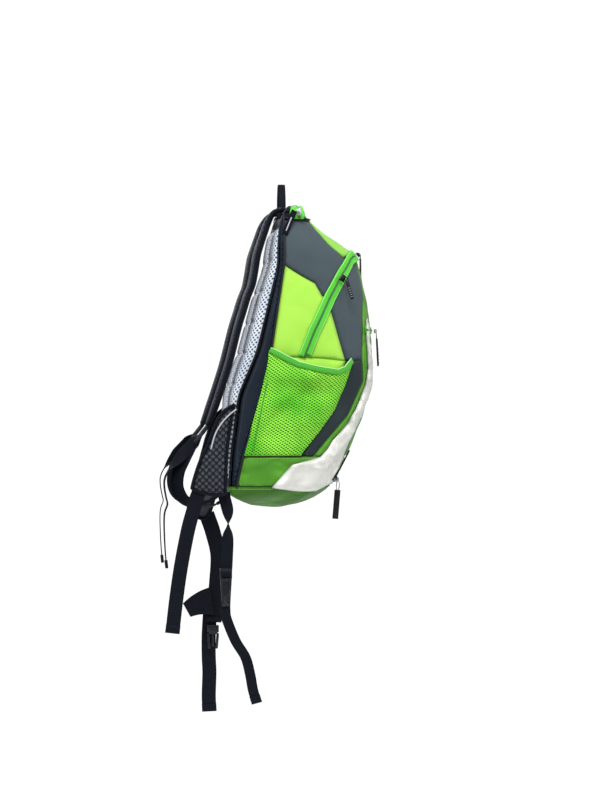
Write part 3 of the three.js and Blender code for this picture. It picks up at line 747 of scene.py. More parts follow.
@dataclass
class Shell:
    """The pack's outer skin: rounded D sections stacked along its height."""

    back: Outline = field(default_factory=lambda: [
        (-7, -36), (-2, -41), (3, -47), (11, -70), (13.5, -100), (14, -127), (45, -254),
        (73, -321), (84, -406), (87, -456), (86, -466), (75, -476), (52, -483), (20, -487.4)])
    front: Outline = field(default_factory=lambda: [
        (-12, -36), (-27, -42), (-44, -62), (-59, -75), (-81, -90), (-101, -104), (-110, -108),
        (-114.5, -125), (-119.5, -147), (-127, -183), (-133, -216), (-135.5, -255),
        (-134.5, -300), (-128, -327), (-120, -354), (-104, -393), (-95, -412), (-77, -448),
        (-72, -456), (-61, -466), (-43, -476), (-22, -483), (10, -487.4)])
    half_width: Outline = field(default_factory=lambda: [
        (72, -36), (88, -40), (97, -47), (104, -60), (110, -80), (115, -110), (118, -150),
        (120, -200), (120, -440), (118, -456), (112, -466), (98, -476), (75, -483),
        (20, -487.4)])
    squareness: float = 3.0

    def __post_init__(self) -> None:
        """Samples the profile tables every half millimetre and rounds their corners."""
        self._z = np.arange(-487.4, -35.9, 0.5)
        self._curves = []
        for table, soft in ((self.back, 7.0), (self.front, 4.0), (self.half_width, 6.0)):
            z = np.array([p[1] for p in table])[::-1]
            v = np.array([p[0] for p in table], float)[::-1]
            values = np.interp(self._z, z, v)
            reach = int(soft * 6)
            kernel = np.exp(-0.5 * (np.arange(-reach, reach + 1) * 0.5 / soft) ** 2)
            padded = np.pad(values, reach, mode="reflect", reflect_type="odd")
            smooth = np.convolve(padded, kernel / kernel.sum(), mode="valid")
            ends = np.clip(np.minimum(self._z + 487.4, -36 - self._z) / 12, 0, 1)
            self._curves.append(values * (1 - ends) + smooth * ends)

    def section(self, z: Points) -> tuple[Points, Points, Points]:
        """Back y, front y and half width at heights z."""
        return tuple(np.interp(z, self._z, c) for c in self._curves)

    def skin(self, phi: Points, z: Points) -> Points:
        """Skin points at angle phi, 0 at the left back corner and pi at the right."""
        yb, yf, w = self.section(z)
        c, s = np.cos(phi), np.sin(phi)
        k = self.squareness
        r = (np.abs(c) ** k + np.abs(s) ** k) ** (-1 / k)
        return np.stack([-w * r * c, yb - (yb - yf) * r * s, z], axis=-1)

    def normal(self, phi: Points, z: Points) -> Points:
        """Outward unit normals of the skin."""
        du = self.skin(phi + 0.01, z) - self.skin(phi - 0.01, z)
        dz = self.skin(phi, z + 2) - self.skin(phi, z - 2)
        n = np.cross(du, dz)
        out = np.stack([-np.cos(phi), -np.sin(phi), np.zeros_like(phi)], axis=-1)
        n *= np.sign(np.sum(n * out, axis=-1))[:, None]
        return unit(n)

    def lifted(self, phi: Points, z: Points, lift: Points | float) -> Points:
        """Skin points moved outwards, with a little slackness in the cloth."""
        base = self.skin(phi, z)
        slack = 0.9 * ripple(base, 70, 3) + 0.35 * ripple(base, 28, 8)
        return base + self.normal(phi, z) * (np.asarray(lift) + slack)[:, None]

    def template(self, points: Sequence[Sequence[float]], step: float = 3.0) -> Outline:
        """Turns side-template points into (phi, z) points of the left side.

        Args:
            points: (turned y, z) corners joined by straight lines.
            step: spacing along the lines.

        Returns:
            The same line as (phi, z).
        """
        line = dense(points, step)
        phis = np.linspace(0.0, math.pi / 2, 500)
        out = []
        for turned, z in line:
            p = self.skin(phis, np.full_like(phis, z))
            seen = p[:, 1] + TURN * p[:, 0]
            last = int(np.argmin(seen))
            index = np.searchsorted(-seen[:last + 1], -turned)
            index = min(max(index, 1), last)
            a, b = seen[index - 1], seen[index]
            t = 0.0 if a == b else float(np.clip((a - turned) / (a - b), 0, 1))
            out.append((float(phis[index - 1] + t * (phis[index] - phis[index - 1])), z))
        return out


@dataclass
class Panels:
    """Cuts sewn panels out of the shell."""

    shell: Shell
    radius: float = 125.0
    spacing: float = 4.5
    thickness: float = 1.5

    def cut(self, name: str, outline: Outline, finish: Cloth, lift: float | Callable = 0.0,
            puff: float = 1.5, roll: float = 1.1, rough: float = 0.0, fold: float = 16.0,
            side: Side = Side.LEFT, inner: Inner = Inner.LINING,
            depth: float | None = None) -> bpy.types.Object:
        """Makes one panel with rolled seam edges.

        Args:
            name: piece name.
            outline: closed (phi, z) outline on the left side or across the front.
            finish: fabric.
            lift: distance of the panel above the skin.
            puff: how far its middle swells.
            roll: how far its edges dip into the seam.
            rough: height of its crinkles.
            fold: their spacing.
            side: RIGHT mirrors the outline.
            inner: what the inside face shows.
            depth: its thickness, or None for plain cloth.

        Returns:
            The panel.
        """
        flat = np.array(outline) * [self.radius, 1.0]
        keep = np.linalg.norm(np.roll(flat, -1, axis=0) - flat, axis=1) > 0.4
        flat = flat[keep]
        loop = dense(np.vstack([flat, flat[:1]]), self.spacing)[:-1]
        flat, faces, edge, run = self.mesh(loop)
        phi, z = flat[:, 0] / self.radius, flat[:, 1]
        if side is Side.RIGHT:
            phi = math.pi - phi
        stand = lift(flat[:, 0] / self.radius, z, edge) if callable(lift) else lift
        out = stand - roll * np.exp(-((edge / 2.2) ** 2)) + puff * (1 - np.exp(-edge / 14))
        crisp = rough * (np.abs(ripple(flat @ np.eye(2, 3), fold, 5))
                         + 0.5 * ripple(flat @ np.eye(2, 3), fold * 0.45, 9))
        out = out + crisp * np.clip(edge / 4, 0, 1)
        outer = self.shell.lifted(phi, z, out)
        inner_points = self.shell.lifted(phi, z, out - (depth or self.thickness))
        back = LINING if inner is Inner.LINING else finish
        return thick_sheet(name, outer, inner_points, faces, self.rim(faces),
                           [finish.make(), back.make()], flat, edge=edge, run=run)

    def mesh(self, loop: Points) -> tuple[Points, list, Points, Points]:
        """Triangles inside an outline.

        Args:
            loop: points round the outline.

        Returns:
            Vertices, faces, distances to the outline and lengths along it.
        """
        n = len(loop)
        verts, _, faces, *_ = geometry.delaunay_2d_cdt(
            [Vector(p) for p in np.vstack([loop, self.fill(loop)])],
            [(i, (i + 1) % n) for i in range(n)], [], 1, 1e-4)
        flat = np.array([(v.x, v.y) for v in verts])
        return flat, faces, *self.to_edge(flat, loop)

    def fill(self, loop: Points) -> Points:
        """Staggered points inside the outline, clear of its edge."""
        low, high = loop.min(0), loop.max(0)
        s = self.spacing
        rows = np.arange(low[1], high[1], s * 0.87)
        grid = [(x + (s / 2 if i % 2 else 0), y) for i, y in enumerate(rows)
                for x in np.arange(low[0], high[0], s)]
        pts = np.array(grid)
        a, b = loop, np.roll(loop, -1, axis=0)
        inside = np.zeros(len(pts), bool)
        for (x0, y0), (x1, y1) in zip(a, b):
            if y0 == y1:
                continue
            cross = (pts[:, 1] > min(y0, y1)) & (pts[:, 1] <= max(y0, y1))
            inside ^= cross & (pts[:, 0] < x0 + (pts[:, 1] - y0) * (x1 - x0) / (y1 - y0))
        pts = pts[inside]
        near, _ = self.to_edge(pts, loop)
        return pts[near > s * 0.5]

    @staticmethod
    def to_edge(pts: Points, loop: Points) -> tuple[Points, Points]:
        """Distance to the outline and the length along it to the nearest place."""
        best = np.full(len(pts), 1e9)
        run = np.zeros(len(pts))
        walked = 0.0
        for a, b in zip(loop, np.roll(loop, -1, axis=0)):
            d = b - a
            size = float(np.linalg.norm(d))
            if size < 1e-9:
                continue
            t = np.clip((pts - a) @ d / size ** 2, 0, 1)
            far = np.linalg.norm(pts - a - t[:, None] * d, axis=1)
            closer = far < best
            best[closer] = far[closer]
            run[closer] = walked + t[closer] * size
            walked += size
        return best, run

    @staticmethod
    def rim(faces: Sequence[Sequence[int]]) -> list[int]:
        """The ordered loop of boundary vertices."""
        once: dict[tuple[int, int], bool] = {}
        for face in faces:
            for a, b in zip(face, list(face[1:]) + [face[0]]):
                if (b, a) in once:
                    del once[(b, a)]
                else:
                    once[(a, b)] = True
        follow = {a: b for a, b in once}
        start = next(iter(follow))
        rim = [start]
        while follow.get(rim[-1], start) != start and len(rim) <= len(follow):
            rim.append(follow[rim[-1]])
        return rim

    def strip(self, name: str, line: Outline, near: float, far: float, lift: float,
              material: bpy.types.Material, side: Side = Side.LEFT,
              cols: int = 4, arch: float = 0.0) -> bpy.types.Object:
        """Narrow tape that follows a line on the skin.

        Args:
            name: piece name.
            line: (phi, z) points.
            near: sideways distance of one edge from the line.
            far: sideways distance of the other edge.
            lift: height above the skin.
            material: finish.
            side: RIGHT mirrors the line.
            cols: faces across.
            arch: extra height in the middle.

        Returns:
            The tape.
        """
        p = np.array(line)
        phi = p[:, 0] if side is Side.LEFT else math.pi - p[:, 0]
        base = self.shell.lifted(phi, p[:, 1], lift)
        n = self.shell.normal(phi, p[:, 1])
        a = np.cross(n, unit(np.gradient(base, axis=0))) * -side.sign
        offsets = np.linspace(near, far, cols + 1)
        bow = arch * (1 - (2 * (offsets - near) / (far - near) - 1) ** 2)
        top = np.stack([base + a * o + n * (0.5 + h) for o, h in zip(offsets, bow)], axis=1)
        low = np.stack([base + a * o - n * 0.5 for o in offsets], axis=1)
        k = cols + 1
        uv = np.stack([np.tile(offsets, len(p)), np.repeat(lengths(base), k)], axis=1)
        return thick_sheet(name, top.reshape(-1, 3), low.reshape(-1, 3),
                           grid_faces(len(p), k), grid_rim(len(p), k), [material], uv,
                           edge=np.full(len(p) * k, CLEAR), run=uv[:, 1])


# ---------------------------------------------------------------- hard pieces


class Bench:
    """Shapes hard pieces with Blender's own operators, then sets them in place."""

    @staticmethod
    def start(size: Sequence[float]) -> bpy.types.Object:
        """Adds a cube of that size in millimetres at the origin, in edit mode."""
        bpy.ops.object.select_all(action="DESELECT")
        bpy.ops.mesh.primitive_cube_add(size=1.0)
        made = bpy.context.active_object
        made.scale = Vector(size) * MM
        bpy.ops.object.transform_apply(scale=True)
        bpy.ops.object.mode_set(mode="EDIT")
        bpy.ops.mesh.select_mode(type="FACE")
        bpy.ops.mesh.select_all(action="DESELECT")
        return made

    @staticmethod
    def pick(obj: bpy.types.Object, test: Callable[[Vector, Vector], bool]) -> None:
        """Selects the faces whose centre and normal pass the test."""
        bm = bmesh.from_edit_mesh(obj.data)
        for face in bm.faces:
            face.select_set(test(face.calc_center_median() / MM, face.normal))
        bmesh.update_edit_mesh(obj.data)

    @staticmethod
    def step(inset: float, move: Sequence[float]) -> None:
        """Insets the selected faces and moves what is inside, in millimetres."""
        bpy.ops.mesh.inset(thickness=inset * MM)
        way = {"value": tuple(part * MM for part in move)}
        bpy.ops.mesh.extrude_region_move(TRANSFORM_OT_translate=way)

    @staticmethod
    def finish(obj: bpy.types.Object, name: str, material: bpy.types.Material,
               bevel: float, segments: int = 2) -> bpy.types.Object:
        """Leaves edit mode and rounds the edges.

        Args:
            obj: the piece in edit mode.
            name: its name.
            material: its finish.
            bevel: edge radius in millimetres.
            segments: steps round each edge.

        Returns:
            The piece.
        """
        bpy.ops.object.mode_set(mode="OBJECT")
        obj.name = obj.data.name = name
        obj.data.materials.clear()
        obj.data.materials.append(material)
        rounder = obj.modifiers.new("edges", "BEVEL")
        rounder.width = bevel * MM
        rounder.segments = segments
        rounder.limit_method = "ANGLE"
        bpy.ops.object.modifier_apply(modifier="edges")
        bpy.ops.object.shade_smooth_by_angle(angle=math.radians(40))
        obj.select_set(False)
        return outward(obj)

    @staticmethod
    def place(obj: bpy.types.Object, centre: Sequence[float], along: Sequence[float],
              facing: Sequence[float]) -> bpy.types.Object:
        """Moves the mesh so its local Z runs along `along` and its Y faces `facing`."""
        z = Vector(along).normalized()
        y = (Vector(facing) - z * Vector(facing).dot(z)).normalized()
        x = y.cross(z)
        turn = Matrix((x, y, z)).transposed().to_4x4()
        obj.data.transform(Matrix.Translation(Vector(centre) * MM) @ turn)
        obj.data.update()
        return obj

    @classmethod
    def slider(cls, name: str, finish: Moulded, centre: Sequence[float],
               along: Sequence[float], facing: Sequence[float]) -> bpy.types.Object:
        """Zip slider: waisted body with a bridge over its top."""
        body = cls.start((8.6, 2.6, 10.0))
        cls.pick(body, lambda c, n: n.z < -0.9)
        bpy.ops.transform.resize(value=(0.62, 1.0, 1.0))
        cls.pick(body, lambda c, n: n.y > 0.9)
        cls.step(1.1, (0, 0.9, 0))
        cls.step(1.2, (0, 1.2, 0))
        bpy.ops.transform.resize(value=(0.7, 1.0, 0.8))
        return cls.place(cls.finish(body, name, finish.make(), 0.45), centre, along, facing)

    @classmethod
    def bar(cls, name: str, finish: Moulded, size: Sequence[float], centre: Sequence[float],
            along: Sequence[float], facing: Sequence[float],
            bevel: float = 1.0) -> bpy.types.Object:
        """Moulded bar with a shallow raised rib on its face."""
        made = cls.start(size)
        cls.pick(made, lambda c, n: n.y > 0.9)
        cls.step(min(size[0], size[2]) * 0.22, (0, 0.5, 0))
        return cls.place(cls.finish(made, name, finish.make(), bevel), centre, along, facing)

    @classmethod
    def ladder(cls, name: str, centre: Sequence[float], along: Sequence[float],
               facing: Sequence[float], width: float, height: float) -> bpy.types.Object:
        """Ladder-lock: two side rails and three cross bars for the webbing."""
        z = Vector(along).normalized()
        y = Vector(facing).normalized()
        x = y.cross(z).normalized()
        at = Vector(centre)
        parts = [cls.bar("rail", ACETAL, (3.4, 5.0, height), at + x * s * (width / 2 - 1.7),
                         z, y) for s in (-1, 1)]
        parts += [cls.bar("rung", ACETAL, (width - 4, 4.4, 3.6), at + z * d * height, z, y)
                  for d in (-0.42, 0.0, 0.42)]
        return join(name, parts)

    @classmethod
    def buckle_socket(cls, name: str, centre: Sequence[float]) -> bpy.types.Object:
        """Side-release socket: open frame with an oval window and a top bar."""
        at = Vector(centre)
        shell = cls.start((12.0, 17.0, 42.0))
        cls.pick(shell, lambda c, n: abs(n.x) > 0.9)
        cls.step(3.6, (0, 0, 0))
        bpy.ops.transform.resize(value=(0.35, 1.0, 0.92))
        cls.pick(shell, lambda c, n: n.z < -0.9)
        bpy.ops.transform.resize(value=(0.8, 0.72, 1.0))
        made = cls.finish(shell, "socket", ACETAL.make(), 1.4, 3)
        cls.place(made, at + Vector((0, 0, -6)), (0, 0, 1), (0, 1, 0))
        top = cls.bar("top_bar", ACETAL, (11.0, 18.0, 4.0), at + Vector((0, 0, 27)), (0, 0, 1),
                      (0, 1, 0), 1.2)
        rails = [cls.bar("post", ACETAL, (8.0, 3.0, 14.0), at + Vector((0, s * 7, 20)),
                         (0, 0, 1), (0, s, 0), 0.8) for s in (-1, 1)]
        return join(name, [made, top] + rails)

    @classmethod
    def buckle_plug(cls, name: str, centre: Sequence[float]) -> bpy.types.Object:
        """Side-release plug: cross bar, two sprung arms and a guide rib."""
        at = Vector(centre)
        head = cls.start((10.0, 18.0, 11.0))
        cls.pick(head, lambda c, n: n.z < -0.9)
        cls.step(2.0, (0, 0, -3))
        made = cls.finish(head, "head", ACETAL.make(), 1.3, 3)
        cls.place(made, at + Vector((0, 0, 13)), (0, 0, 1), (0, 1, 0))
        arms = [cls.bar("arm", ACETAL, (6.4, 3.4, 24.0), at + Vector((0, s * 6.4, -6)),
                        (0, s * 0.08, 1), (0, s, 0), 1.2) for s in (-1, 1)]
        guide = cls.bar("guide", ACETAL, (4.0, 3.2, 24.0), at + Vector((0, 0, -3)), (0, 0, 1),
                        (0, 1, 0), 1.0)
        return join(name, [made] + arms + [guide])


# ---------------------------------------------------------------- seams, as (turned y, z)


@dataclass(frozen=True)
class Seams:
    """Seam corners on the side template."""

    slate_upper: tuple = ((-5, -59), (-5, -127), (-51, -154), (-62, -173), (-73, -174),
                          (-88, -145), (-103, -118), (-94, -114), (-70.5, -94),
                          (-46.5, -64.5), (-42.5, -59))
    cap_side: tuple = ((-4, -46), (-5, -59), (-42.5, -59), (-33.5, -46))
    lime_rear: tuple = ((-5, -127), (15, -257), (17, -264), (-34.5, -264), (-49.5, -225),
                        (-73, -174), (-62, -173), (-51, -154))
    lime_low: tuple = ((17, -264), (28, -321), (55, -406), (56, -410), (-30, -410),
                       (-94, -311), (-97, -269), (-66, -266), (-34.5, -264))
    lime_flap: tuple = ((-65, -192), (-49.5, -225), (-34.5, -264), (-66, -266), (-97, -269),
                        (-75, -196))
    slate_front: tuple = ((-106, -114), (-92, -139), (-73, -174), (-65, -192), (-75, -196),
                          (-97, -269), (-122, -266), (-123.5, -175), (-121, -154),
                          (-113, -124))
    dark_strip: tuple = ((-97, -269), (-94, -311), (-30, -410), (-47.7, -412),
                         (-100.5, -349.5), (-124, -300), (-122, -266))
    reflective: tuple = ((-127, -205), (-126, -231), (-128, -255), (-129, -279),
                         (-126, -303), (-122, -315), (-117, -327), (-111, -339),
                         (-104, -351), (-98, -363), (-88, -375), (-76, -387), (-69, -399),
                         (-58, -411), (-16, -423), (14, -456), (-16, -460), (-51, -461.5),
                         (-76, -449), (-91, -411), (-95, -399), (-100, -387), (-107, -375),
                         (-113, -363), (-119, -351), (-123, -339), (-128, -327),
                         (-132, -315), (-134, -303), (-135, -279), (-133, -255),
                         (-131, -231), (-129, -205))
    gusset: tuple = ((-4, -47), (-5, -70), (-5, -127), (14, -254), (28, -321), (55, -406),
                     (66, -456))
    front_edge: tuple = ((-106, -114), (-113, -124), (-121, -154), (-123.5, -175),
                         (-122, -266), (-124, -300), (-100.5, -349.5), (-47.7, -412))
    top_edge: tuple = ((-34, -46), (-42.5, -59), (-46.5, -64.5), (-70.5, -94), (-94, -114),
                       (-104, -113))
    zip_side: tuple = ((-34.5, -264), (-49.5, -225), (-73, -174), (-90, -141), (-105, -114))
    hem: tuple = ((18, -255), (-1.5, -266), (-23, -277), (-51, -284), (-79.5, -288),
                  (-94, -283), (-106, -270))
    pocket_back: tuple = ((18, -255), (19.5, -272), (30, -318), (55, -406))
    pocket_front: tuple = ((-106, -270), (-95, -306), (-80, -340), (-57, -374), (-28, -409))


# ---------------------------------------------------------------- assemblies


@dataclass
class Assembly:
    """Common tools of the pack's sub-assemblies."""

    shell: Shell
    panels: Panels
    seams: Seams = field(default_factory=Seams)

    def hang(self, piece: bpy.types.Object, body: str, slot: str, *nodes: str,
             folds: bool = False, fill: float | None = None) -> bpy.types.Object:
        """Rides and logs a finished piece, and hides the solids it stands for.

        Args:
            piece: the piece.
            body: body it rides on.
            slot: not used.
            nodes: solids it stands for.
            folds: bakes its transform and leaves it on no body instead.
            fill: not used.

        Returns:
            The piece.
        """
        if folds:
            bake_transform(piece)
        else:
            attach(piece, body)
        if nodes:
            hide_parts(*nodes)
        LOG.info("%s rides on %s", piece.name, "pack/flap" if folds else body)
        return piece

    def across(self, edge: Sequence[Sequence[float]], low: float | None = None,
               high: float | None = None) -> Outline:
        """Closed outline across the front between an edge and its mirror image.

        Args:
            edge: template corners of the left edge, from the top down.
            low: height of the lower edge, or None to join the ends.
            high: height of the upper edge at the middle, or None to join the ends.

        Returns:
            (phi, z) outline.
        """
        left = self.shell.template(edge)
        right = [(math.pi - p, z) for p, z in left]
        bottom = self._bridge(left[-1], right[-1], low)
        top = self._bridge(right[0], left[0], high)
        return left + bottom + right[::-1] + top

    @staticmethod
    def _bridge(a: Sequence[float], b: Sequence[float], middle: float | None) -> Outline:
        """Points from a to b whose height bows to `middle`."""
        out = []
        for t in np.linspace(0, 1, 26)[1:-1]:
            z = a[1] + (b[1] - a[1]) * t
            if middle is not None:
                z += (middle - z) * min(1.0, 3.2 * min(t, 1 - t))
            out.append((a[0] + (b[0] - a[0]) * t, z))
        return out

    def path(self, points: Sequence[Sequence[float]], x: float | Sequence[float],
             step: float = 4.0) -> Points:
        """Smooth path through [y, z] points at x."""
        xs = np.broadcast_to(np.array(x, float), (len(points),))
        return rounded([(xx, y, z) for xx, (y, z) in zip(xs, points)], step)

    def piping(self, name: str, line: Outline, side: Side, lift: float) -> None:
        """Dark cord sewn along a line of one side.

        Args:
            name: piece name.
            line: its points as (phi, z) on the wearer's left.
            side: the side it is on.
            lift: height over the surface.
        """
        phi, z = np.array(line).T
        if side is Side.RIGHT:
            phi = math.pi - phi
        pipe = cord_tube(name, self.shell.lifted(phi, z, lift), 1.5, PIPING_DARK.make())
        self.hang(pipe, "pack", "binding_green")


class PackBody(Assembly):
    """Sewn shell of the bag: side, front, top, bottom and back panels."""

    def build(self) -> None:
        """Builds every panel."""
        for side in Side:
            self._side(side)
        self._front()
        # the bottom takes the green with painted shade
        self._bowl("bottom_bowl", np.array([-455, -461, -467, -473, -478, -482, -485.5]),
                   GREEN_PAINTED_SHADE, "fabric_green", "bottom_panel")
        self._bowl("crown", np.array([-47.5, -44.5, -41.5, -39.2, -37.6]), CAP_BLACK,
                   "fabric_black", "top_cap")
        self._back()

    def _side(self, side: Side) -> None:
        """Panels of one side."""
        cut, end = self.panels.cut, "_" + side.value
        node = "side_panel" + end
        plan = (
            ("slate_upper", SLATE, "pack", "fabric_slate", (node,), False,
             {"rough": 0.5, "fold": 60}),
            ("cap_side", CAP_BLACK, "pack", "fabric_black", (node,), False, {}),
            ("lime_rear", LIME, "pack", "fabric_lime", (node,), False,
             {"puff": 2.0, "rough": 0.7, "fold": 52}),
            ("lime_low", LIME, "pack", "fabric_lime", (node,), True, {}),
            ("lime_flap", LIME, "flap", "fabric_lime", ("flap_panel",), True, {}),
            ("slate_front", SLATE, "flap", "fabric_slate", ("flap_panel", "flap_crease"), True,
             {}),
            ("dark_strip", SLATE_DARK, "pack", "fabric_slate", ("lower_front",), True, {}),
            ("reflective", SILVER, "pack", "fabric_reflective", ("reflective_panel" + end,),
             True, {"lift": 4.3, "puff": 0.4, "rough": 1.3, "fold": 18, "inner": Inner.SAME}))
        for name, finish, body, slot, nodes, folds, shape in plan:
            outline = self.shell.template(getattr(self.seams, name))
            self.hang(cut(name + end, outline, finish, side=side, **shape), body, slot, *nodes,
                      folds=folds)
        line = self.shell.template(self.seams.gusset)
        outline = line + [(0.03, z) for _, z in line[::-1]]
        self.hang(cut("gusset_panel" + end, outline, BLACK, side=side, puff=0.8), "pack",
                  "fabric_black", "gusset" + end)
        self.piping("gusset_piping" + end, line, side, 1.4)

    def _front(self) -> None:
        """Panels that run across the front."""
        s, cut = self.seams, self.panels.cut
        self.hang(cut("front_panel", self.across(s.front_edge, high=-111), GREEN, puff=1.2,
                      rough=0.6, fold=60), "flap", "fabric_green", "flap_panel", folds=True)
        self.hang(cut("top_front", self.across(s.top_edge, low=-107), LIME_TOP, puff=2.0),
                  "pack", "fabric_green", "top_panel")
        band = self.across(((56, -411), (66, -456)))
        self.hang(cut("green_band", band, GREEN, puff=0.9, rough=1.6, fold=26),
                  "pack",
                  "fabric_green", "lower_front")

    def _bowl(self, name: str, levels: Points, finish: Cloth, slot: str, node: str) -> None:
        """Closed end of the bag from stacked rings.

        Args:
            name: piece name.
            levels: ring heights, from the open edge to the closed end.
            finish: fabric.
            slot: record slot.
            node: solid it stands for.
        """
        phis = np.linspace(0.0, math.pi, 60)
        rings = []
        for z in levels:
            arc = self.shell.lifted(phis, np.full(60, z), 0.8)
            a, b = arc[-1], arc[0]
            flat = a + (b - a) * np.linspace(0, 1, 34)[1:-1, None]
            rings.append(np.vstack([arc, flat]))
        last = rings[-1]
        middle = last.mean(axis=0)
        outer_way = np.sign(levels[-1] - levels[0])
        for t in (0.25, 0.5, 0.75, 0.97):
            ring = last + (middle - last) * t
            ring[:, 2] += outer_way * 1.6 * math.sin(t * math.pi / 2)
            rings.append(ring)
        count = len(last)
        points = np.vstack(rings)
        tip = len(points)
        points = np.vstack([points, rings[-1].mean(axis=0)])
        faces: list = grid_faces(len(rings), count, close=True)
        base = (len(rings) - 1) * count
        faces += [(base + j, base + (j + 1) % count, tip) for j in range(count)]
        centre = points.mean(axis=0)
        inner = points - unit(points - centre) * 1.5
        reach = np.concatenate([np.repeat(np.arange(len(rings)) * 4.0, count), [40.0]])
        run = np.concatenate([np.tile(np.arange(count) * 6.0, len(rings)), [0.0]])
        uv = np.stack([points[:, 0], points[:, 1]], axis=1)
        self.hang(thick_sheet(name, points, inner, faces, list(range(count)),
                              [finish.make(), LINING.make()], uv, edge=reach, run=run),
                  "pack", slot, node)

    def _back(self) -> None:
        """The black panel against the wearer's back."""
        z = np.linspace(-46, -457, 90)
        yb, _, w = self.shell.section(z)
        across = np.linspace(-1, 1, 31)
        x = across[None] * (w - 1.5)[:, None]
        y = np.repeat((yb - 0.6)[:, None], 31, axis=1) + 0.8 * np.sin(x / 17)
        pts = np.stack([x, y, np.repeat(z[:, None], 31, axis=1)], axis=-1).reshape(-1, 3)
        rows, cols = len(z), 31
        edge = np.minimum.reduce([pts[:, 0] - pts[:, 0].min(), pts[:, 0].max() - pts[:, 0],
                                  pts[:, 2] + 457, -46 - pts[:, 2]])
        self.hang(thick_sheet("back_cloth", pts, pts - [0, 1.5, 0], grid_faces(rows, cols),
                              grid_rim(rows, cols), [BLACK.make(), LINING.make()],
                              pts[:, [0, 2]], edge=edge, run=pts[:, 2]),
                  "pack", "fabric_black", "back_panel")


@dataclass
class Pockets(Assembly):
    """Stretch net pockets on both sides, with their bound top edges."""

    bulge: float = 15.0
    base: float = 2.6
    creases: tuple = ((0.75, 0.1, 0.25, 0.62, 7.0), (0.2, 0.55, 0.55, 0.95, 5.0),
                      (0.9, 0.3, 0.5, 0.5, 4.0))

    def build(self) -> None:
        """Builds both pockets."""
        s = self.seams
        shape = list(s.hem) + list(s.pocket_front)[1:] + [(56, -409)]
        shape += list(s.pocket_back)[::-1][1:-1]
        for side in Side:
            end = "_" + side.value
            net = self.panels.cut("pocket_net" + end, self.shell.template(shape), POCKET_NET,
                                  side=side, lift=self.lift, puff=0.0, roll=0.3,
                                  inner=Inner.SAME)
            self.hang(net, "pack", "pocket_mesh", "mesh_pocket" + end, folds=True)
            line = self.shell.template(s.hem)
            phi, z = np.array([p for p, _ in line]), np.array([h for _, h in line])
            hem = self.panels.strip("pocket_tape" + end, line, -1.0, 7.6,
                                    self.lift(phi, z) + 0.9, HEM.make(), side=side, arch=0.7)
            lip = self.panels.strip("pocket_lip" + end, line, 6.8, 8.2,
                                    self.lift(phi, z) + 1.3, HEM_EDGE.make(), side=side,
                                    cols=2, arch=0.5)
            hem = join("pocket_binding" + end, [hem, lip])
            self.hang(hem, "pack", "binding_green", "pocket_hem" + end, folds=True)
            dart = self.shell.template(((21, -300), (32, -352), (42, -402)))
            phi, z = np.array([p for p, _ in dart]), np.array([h for _, h in dart])
            if side is Side.RIGHT:
                spot = self.shell.lifted(math.pi - phi, z, self.lift(phi, z) + 0.5)
            else:
                spot = self.shell.lifted(phi, z, self.lift(phi, z) + 0.5)
            self.hang(cord_tube("pocket_dart" + end, spot, 0.7, DART.make()), "pack",
                      "binding_green", folds=True)

    def lift(self, phi: Points, z: Points, edge: Points | None = None) -> Points:
        """How far the net stands off the skin."""
        p = self.shell.skin(phi, z)
        turned = p[:, 1] + TURN * p[:, 0]
        low = np.array(self.seams.pocket_back)[::-1]
        high = np.array(self.seams.pocket_front)[::-1]
        a = np.interp(z, low[:, 1], low[:, 0])
        b = np.interp(z, high[:, 1], high[:, 0])
        s = np.clip((turned - a) / (b - a), 0, 1)
        v = np.clip((-270 - z) / 139, 0, 1)
        spot = np.stack([phi * 125, z, 0 * z], axis=1)
        loose = 6.0 * ripple(spot, 50, 12) * np.sin(math.pi * s) * (1 - v ** 3)
        for a, b, c, d, deep in self.creases:
            along = np.clip(((s - a) * (c - a) + (v - b) * (d - b))
                            / ((c - a) ** 2 + (d - b) ** 2), 0, 1)
            off = np.hypot(s - a - along * (c - a), v - b - along * (d - b))
            loose -= deep * np.sin(math.pi * (0.1 + 0.8 * along)) * np.exp(-(off / 0.1) ** 2)
        return self.base + self.bulge * np.sin(math.pi * s) ** 0.7 * (1 - v ** 3) + loose


